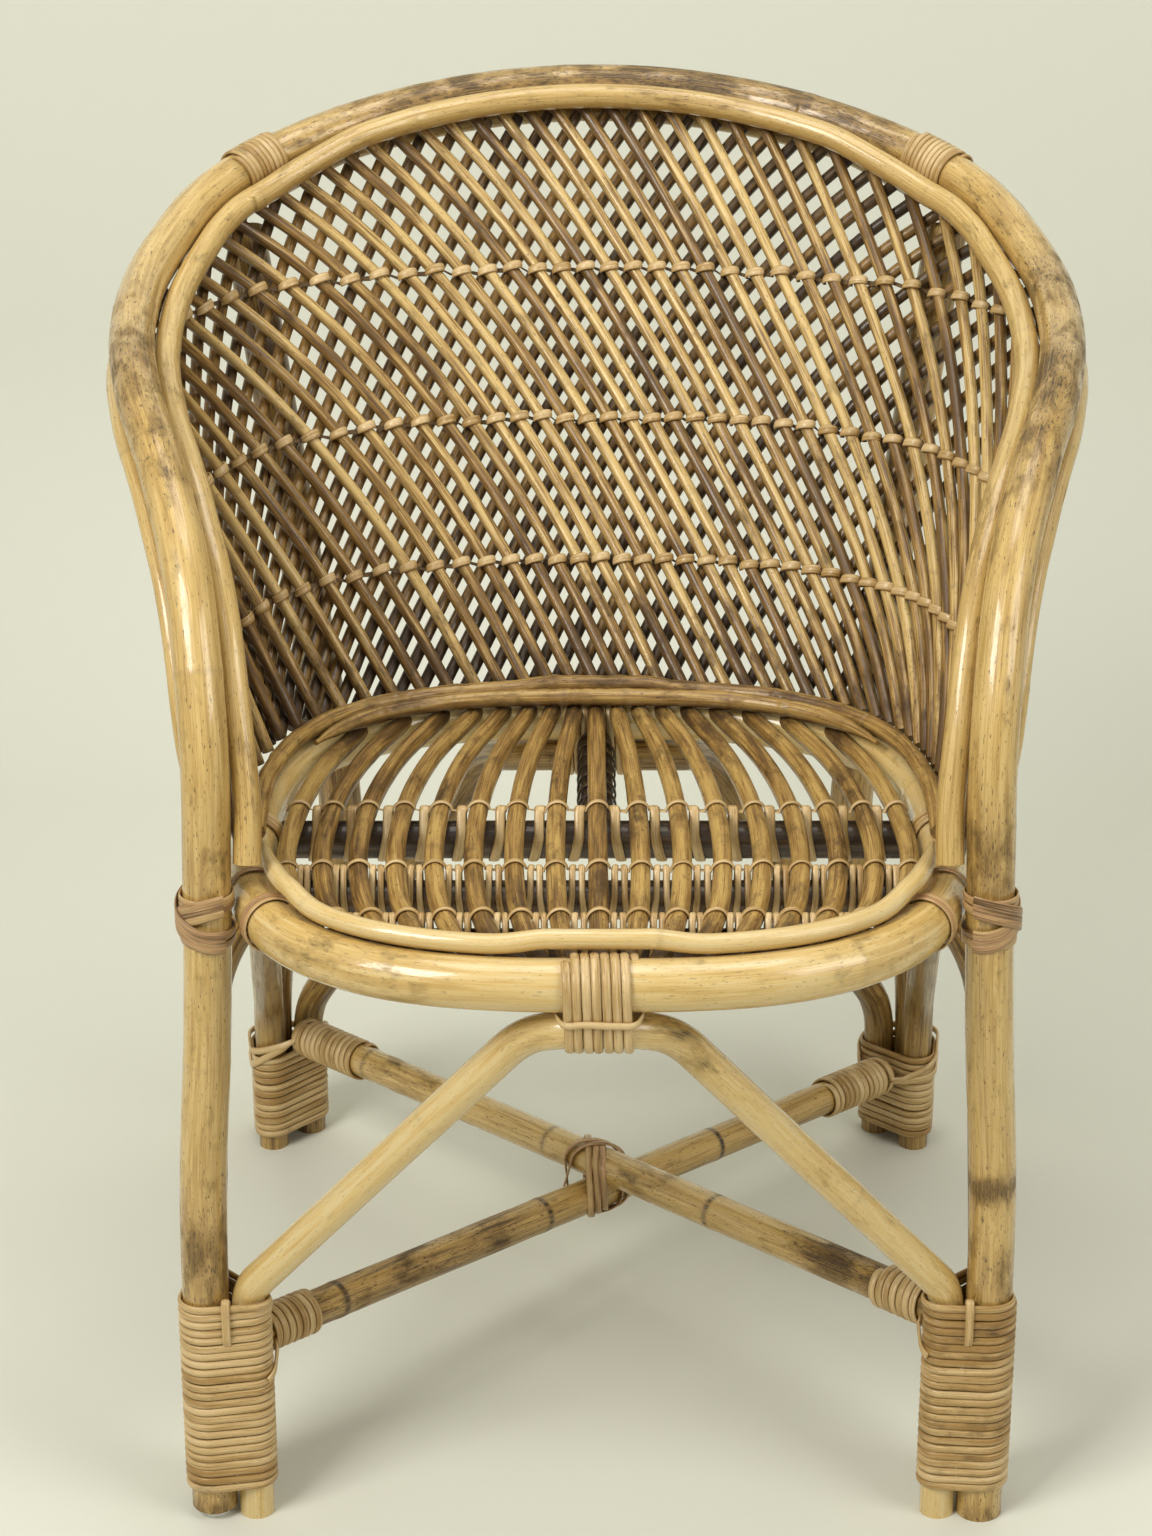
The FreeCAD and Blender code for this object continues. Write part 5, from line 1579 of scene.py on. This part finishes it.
class RATTAN_OT_glide(bpy.types.Operator):
    """White glide under the left front leg"""
    bl_idname = "rattan.glide"
    bl_label = "Foot glide"

    def execute(self, context):
        outline = ((7.6, 0.0), (9.0, 0.35), (9.8, 1.2), (10.0, 2.4), (10.0, 4.2), (9.6, 5.1),
                   (8.8, GLIDE_HEIGHT))
        steps = 40
        rows = []
        turn = np.linspace(0, 2 * math.pi, steps, endpoint=False)
        for radius, height in outline:
            ring = np.stack((np.cos(turn) * radius, np.sin(turn) * radius, np.full(steps, height)), 1)
            rows.append(ring + place(-FOOT_HALF_SPACING, LEG[1], 0))
        points = np.vstack(rows) * MM
        faces = []
        for row in range(len(rows) - 1):
            for step in range(steps):
                following = (step + 1) % steps
                base, over = row * steps, (row + 1) * steps
                faces.append((base + step, base + following, over + following, over + step))
        faces.append(tuple(range(steps))[::-1])
        faces.append(tuple((len(rows) - 1) * steps + step for step in range(steps)))
        mesh = bpy.data.meshes.new("foot_glide_cap")
        mesh.from_pydata(points.tolist(), [], faces)
        for face in mesh.polygons[:-2]:
            face.use_smooth = True
        material = bpy.data.materials.new("glide_white")
        material.use_nodes = True
        tree = material.node_tree
        shader = tree.nodes["Principled BSDF"]
        coords = tree.nodes.new("ShaderNodeTexCoord")
        noise = tree.nodes.new("ShaderNodeTexNoise")
        noise.inputs["Scale"].default_value = 400.0
        tree.links.new(coords.outputs["Object"], noise.inputs["Vector"])
        white = context.scene.rattan_colours.glide
        grey = [value * 0.72 for value in white]
        plastic = ramp(tree, noise.outputs["Fac"], ((0.35, grey), (0.6, white)))
        tree.links.new(plastic, shader.inputs["Base Color"])
        tree.links.new(spread(tree, noise.outputs["Fac"], 0.3, 0.7, 0.6, 0.4), shader.inputs["Roughness"])
        mesh.materials.append(material)
        piece = bpy.data.objects.new("foot_glide_cap", mesh)
        context.scene.collection.objects.link(piece)
        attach(piece, "root")
        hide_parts("foot_glide")
        return {"FINISHED"}


# Stage

def add_light(context, name, spot, aim, size, power, colour):
    """Soft square light aimed at a point, in metres."""
    data = bpy.data.lights.new(name, "AREA")
    data.size = size
    data.energy = power
    data.color = colour
    light = bpy.data.objects.new(name, data)
    context.scene.collection.objects.link(light)
    way = unit(np.array(aim) - np.array(spot))
    light.location = spot
    level = math.hypot(way[0], way[1])
    light.rotation_euler = (math.atan2(level, -way[2]), 0, math.atan2(-way[0], way[1]))
    return light


class RATTAN_OT_stage(bpy.types.Operator):
    """Floor, backdrop, lights and camera"""
    bl_idname = "rattan.stage"
    bl_label = "Stage"

    def execute(self, context):
        scene = context.scene
        half, front, wall, bend, high = 3.0, -2.4, 1.25, 0.35, 4.0
        line = [(front, 0.0), (wall - bend, 0.0)]
        for part in range(1, 13):
            turn = math.pi / 2 * part / 12
            line.append((wall - bend + bend * math.sin(turn), bend - bend * math.cos(turn)))
        line.append((wall, high))
        points = [(x, y, z) for y, z in line for x in (-half, half)]
        faces = [(2 * row, 2 * row + 1, 2 * row + 3, 2 * row + 2) for row in range(len(line) - 1)]
        mesh = bpy.data.meshes.new("backdrop")
        mesh.from_pydata(points, [], faces)
        for face in mesh.polygons:
            face.use_smooth = True
        material = bpy.data.materials.new("backdrop")
        material.use_nodes = True
        tree = material.node_tree
        shader = tree.nodes["Principled BSDF"]
        shader.inputs["Base Color"].default_value = (*scene.rattan_colours.backdrop, 1.0)
        shader.inputs["Roughness"].default_value = 0.75
        facing = tree.nodes.new("ShaderNodeNewGeometry")
        tree.links.new(math_node(tree, "SUBTRACT", 1.0, facing.outputs["Backfacing"]), shader.inputs["Alpha"])
        mesh.materials.append(material)
        backdrop = bpy.data.objects.new("backdrop", mesh)
        scene.collection.objects.link(backdrop)
        lights = (
            add_light(context, "key", (-1.5, -1.7, 2.3), (0, 0, 0.45), 1.2, 58.0, (1.0, 0.97, 0.91)),
            add_light(context, "fill", (1.9, -1.5, 1.9), (0, 0, 0.4), 1.4, 26.0, (1.0, 0.98, 0.93)),
            add_light(context, "top", (0.1, 0.0, 2.9), (0, 0, 0.3), 1.5, 24.0, (1.0, 0.98, 0.93)),
        )
        world = scene.world or bpy.data.worlds.new("studio")
        scene.world = world
        world.use_nodes = True
        sky = world.node_tree
        ground = sky.nodes["Background"]
        ground.inputs["Color"].default_value = (1.0, 0.98, 0.91, 1.0)
        ray = sky.nodes.new("ShaderNodeLightPath").outputs
        direct = math_node(sky, "ADD", ray["Is Glossy Ray"], ray["Is Transmission Ray"])
        direct = math_node(sky, "ADD", ray["Is Camera Ray"], direct)
        sky.links.new(spread(sky, direct, 0, 1, 0.2, 0.62), ground.inputs["Strength"])
        data = bpy.data.cameras.new("camera")
        data.lens = 81.1
        data.sensor_width = 36.0
        camera = bpy.data.objects.new("camera", data)
        camera.location = (-0.013, -2.042, 1.238)
        camera.rotation_euler = (math.radians(90 - 22.3), 0, 0)
        scene.collection.objects.link(camera)
        scene.camera = camera
        scene.view_settings.view_transform = "Standard"
        return {"FINISHED"}


STEPS = (RATTAN_OT_hoop, RATTAN_OT_braces, RATTAN_OT_seat_frame, RATTAN_OT_slats, RATTAN_OT_lattice,
         RATTAN_OT_back_bindings, RATTAN_OT_seat_bindings, RATTAN_OT_wraps, RATTAN_OT_lashings,
         RATTAN_OT_glide, RATTAN_OT_stage)


class RATTAN_PT_panel(bpy.types.Panel):
    """Sidebar list of the steps"""
    bl_label = "Rattan armchair"
    bl_idname = "RATTAN_PT_panel"
    bl_space_type = "VIEW_3D"
    bl_region_type = "UI"
    bl_category = "Rattan"

    def draw(self, context):
        for step in STEPS:
            self.layout.operator(step.bl_idname)
        for group in (context.scene.rattan_sizes, context.scene.rattan_colours):
            for key in group.__annotations__:
                self.layout.prop(group, key)


CLASSES = (RattanSizes, RattanColours, *STEPS, RATTAN_PT_panel)


def register():
    """Registers the classes and their settings on the scene."""
    for kind in CLASSES:
        bpy.utils.register_class(kind)
    bpy.types.Scene.rattan_sizes = bpy.props.PointerProperty(type=RattanSizes)
    bpy.types.Scene.rattan_colours = bpy.props.PointerProperty(type=RattanColours)


def unregister():
    """Takes the settings and classes away again."""
    del bpy.types.Scene.rattan_colours
    del bpy.types.Scene.rattan_sizes
    for kind in reversed(CLASSES):
        bpy.utils.unregister_class(kind)


def main():
    """Runs every step in order."""
    register()
    for step in STEPS:
        group, name = step.bl_idname.split(".")
        getattr(getattr(bpy.ops, group), name)()


if __name__ == "__main__":
    main()
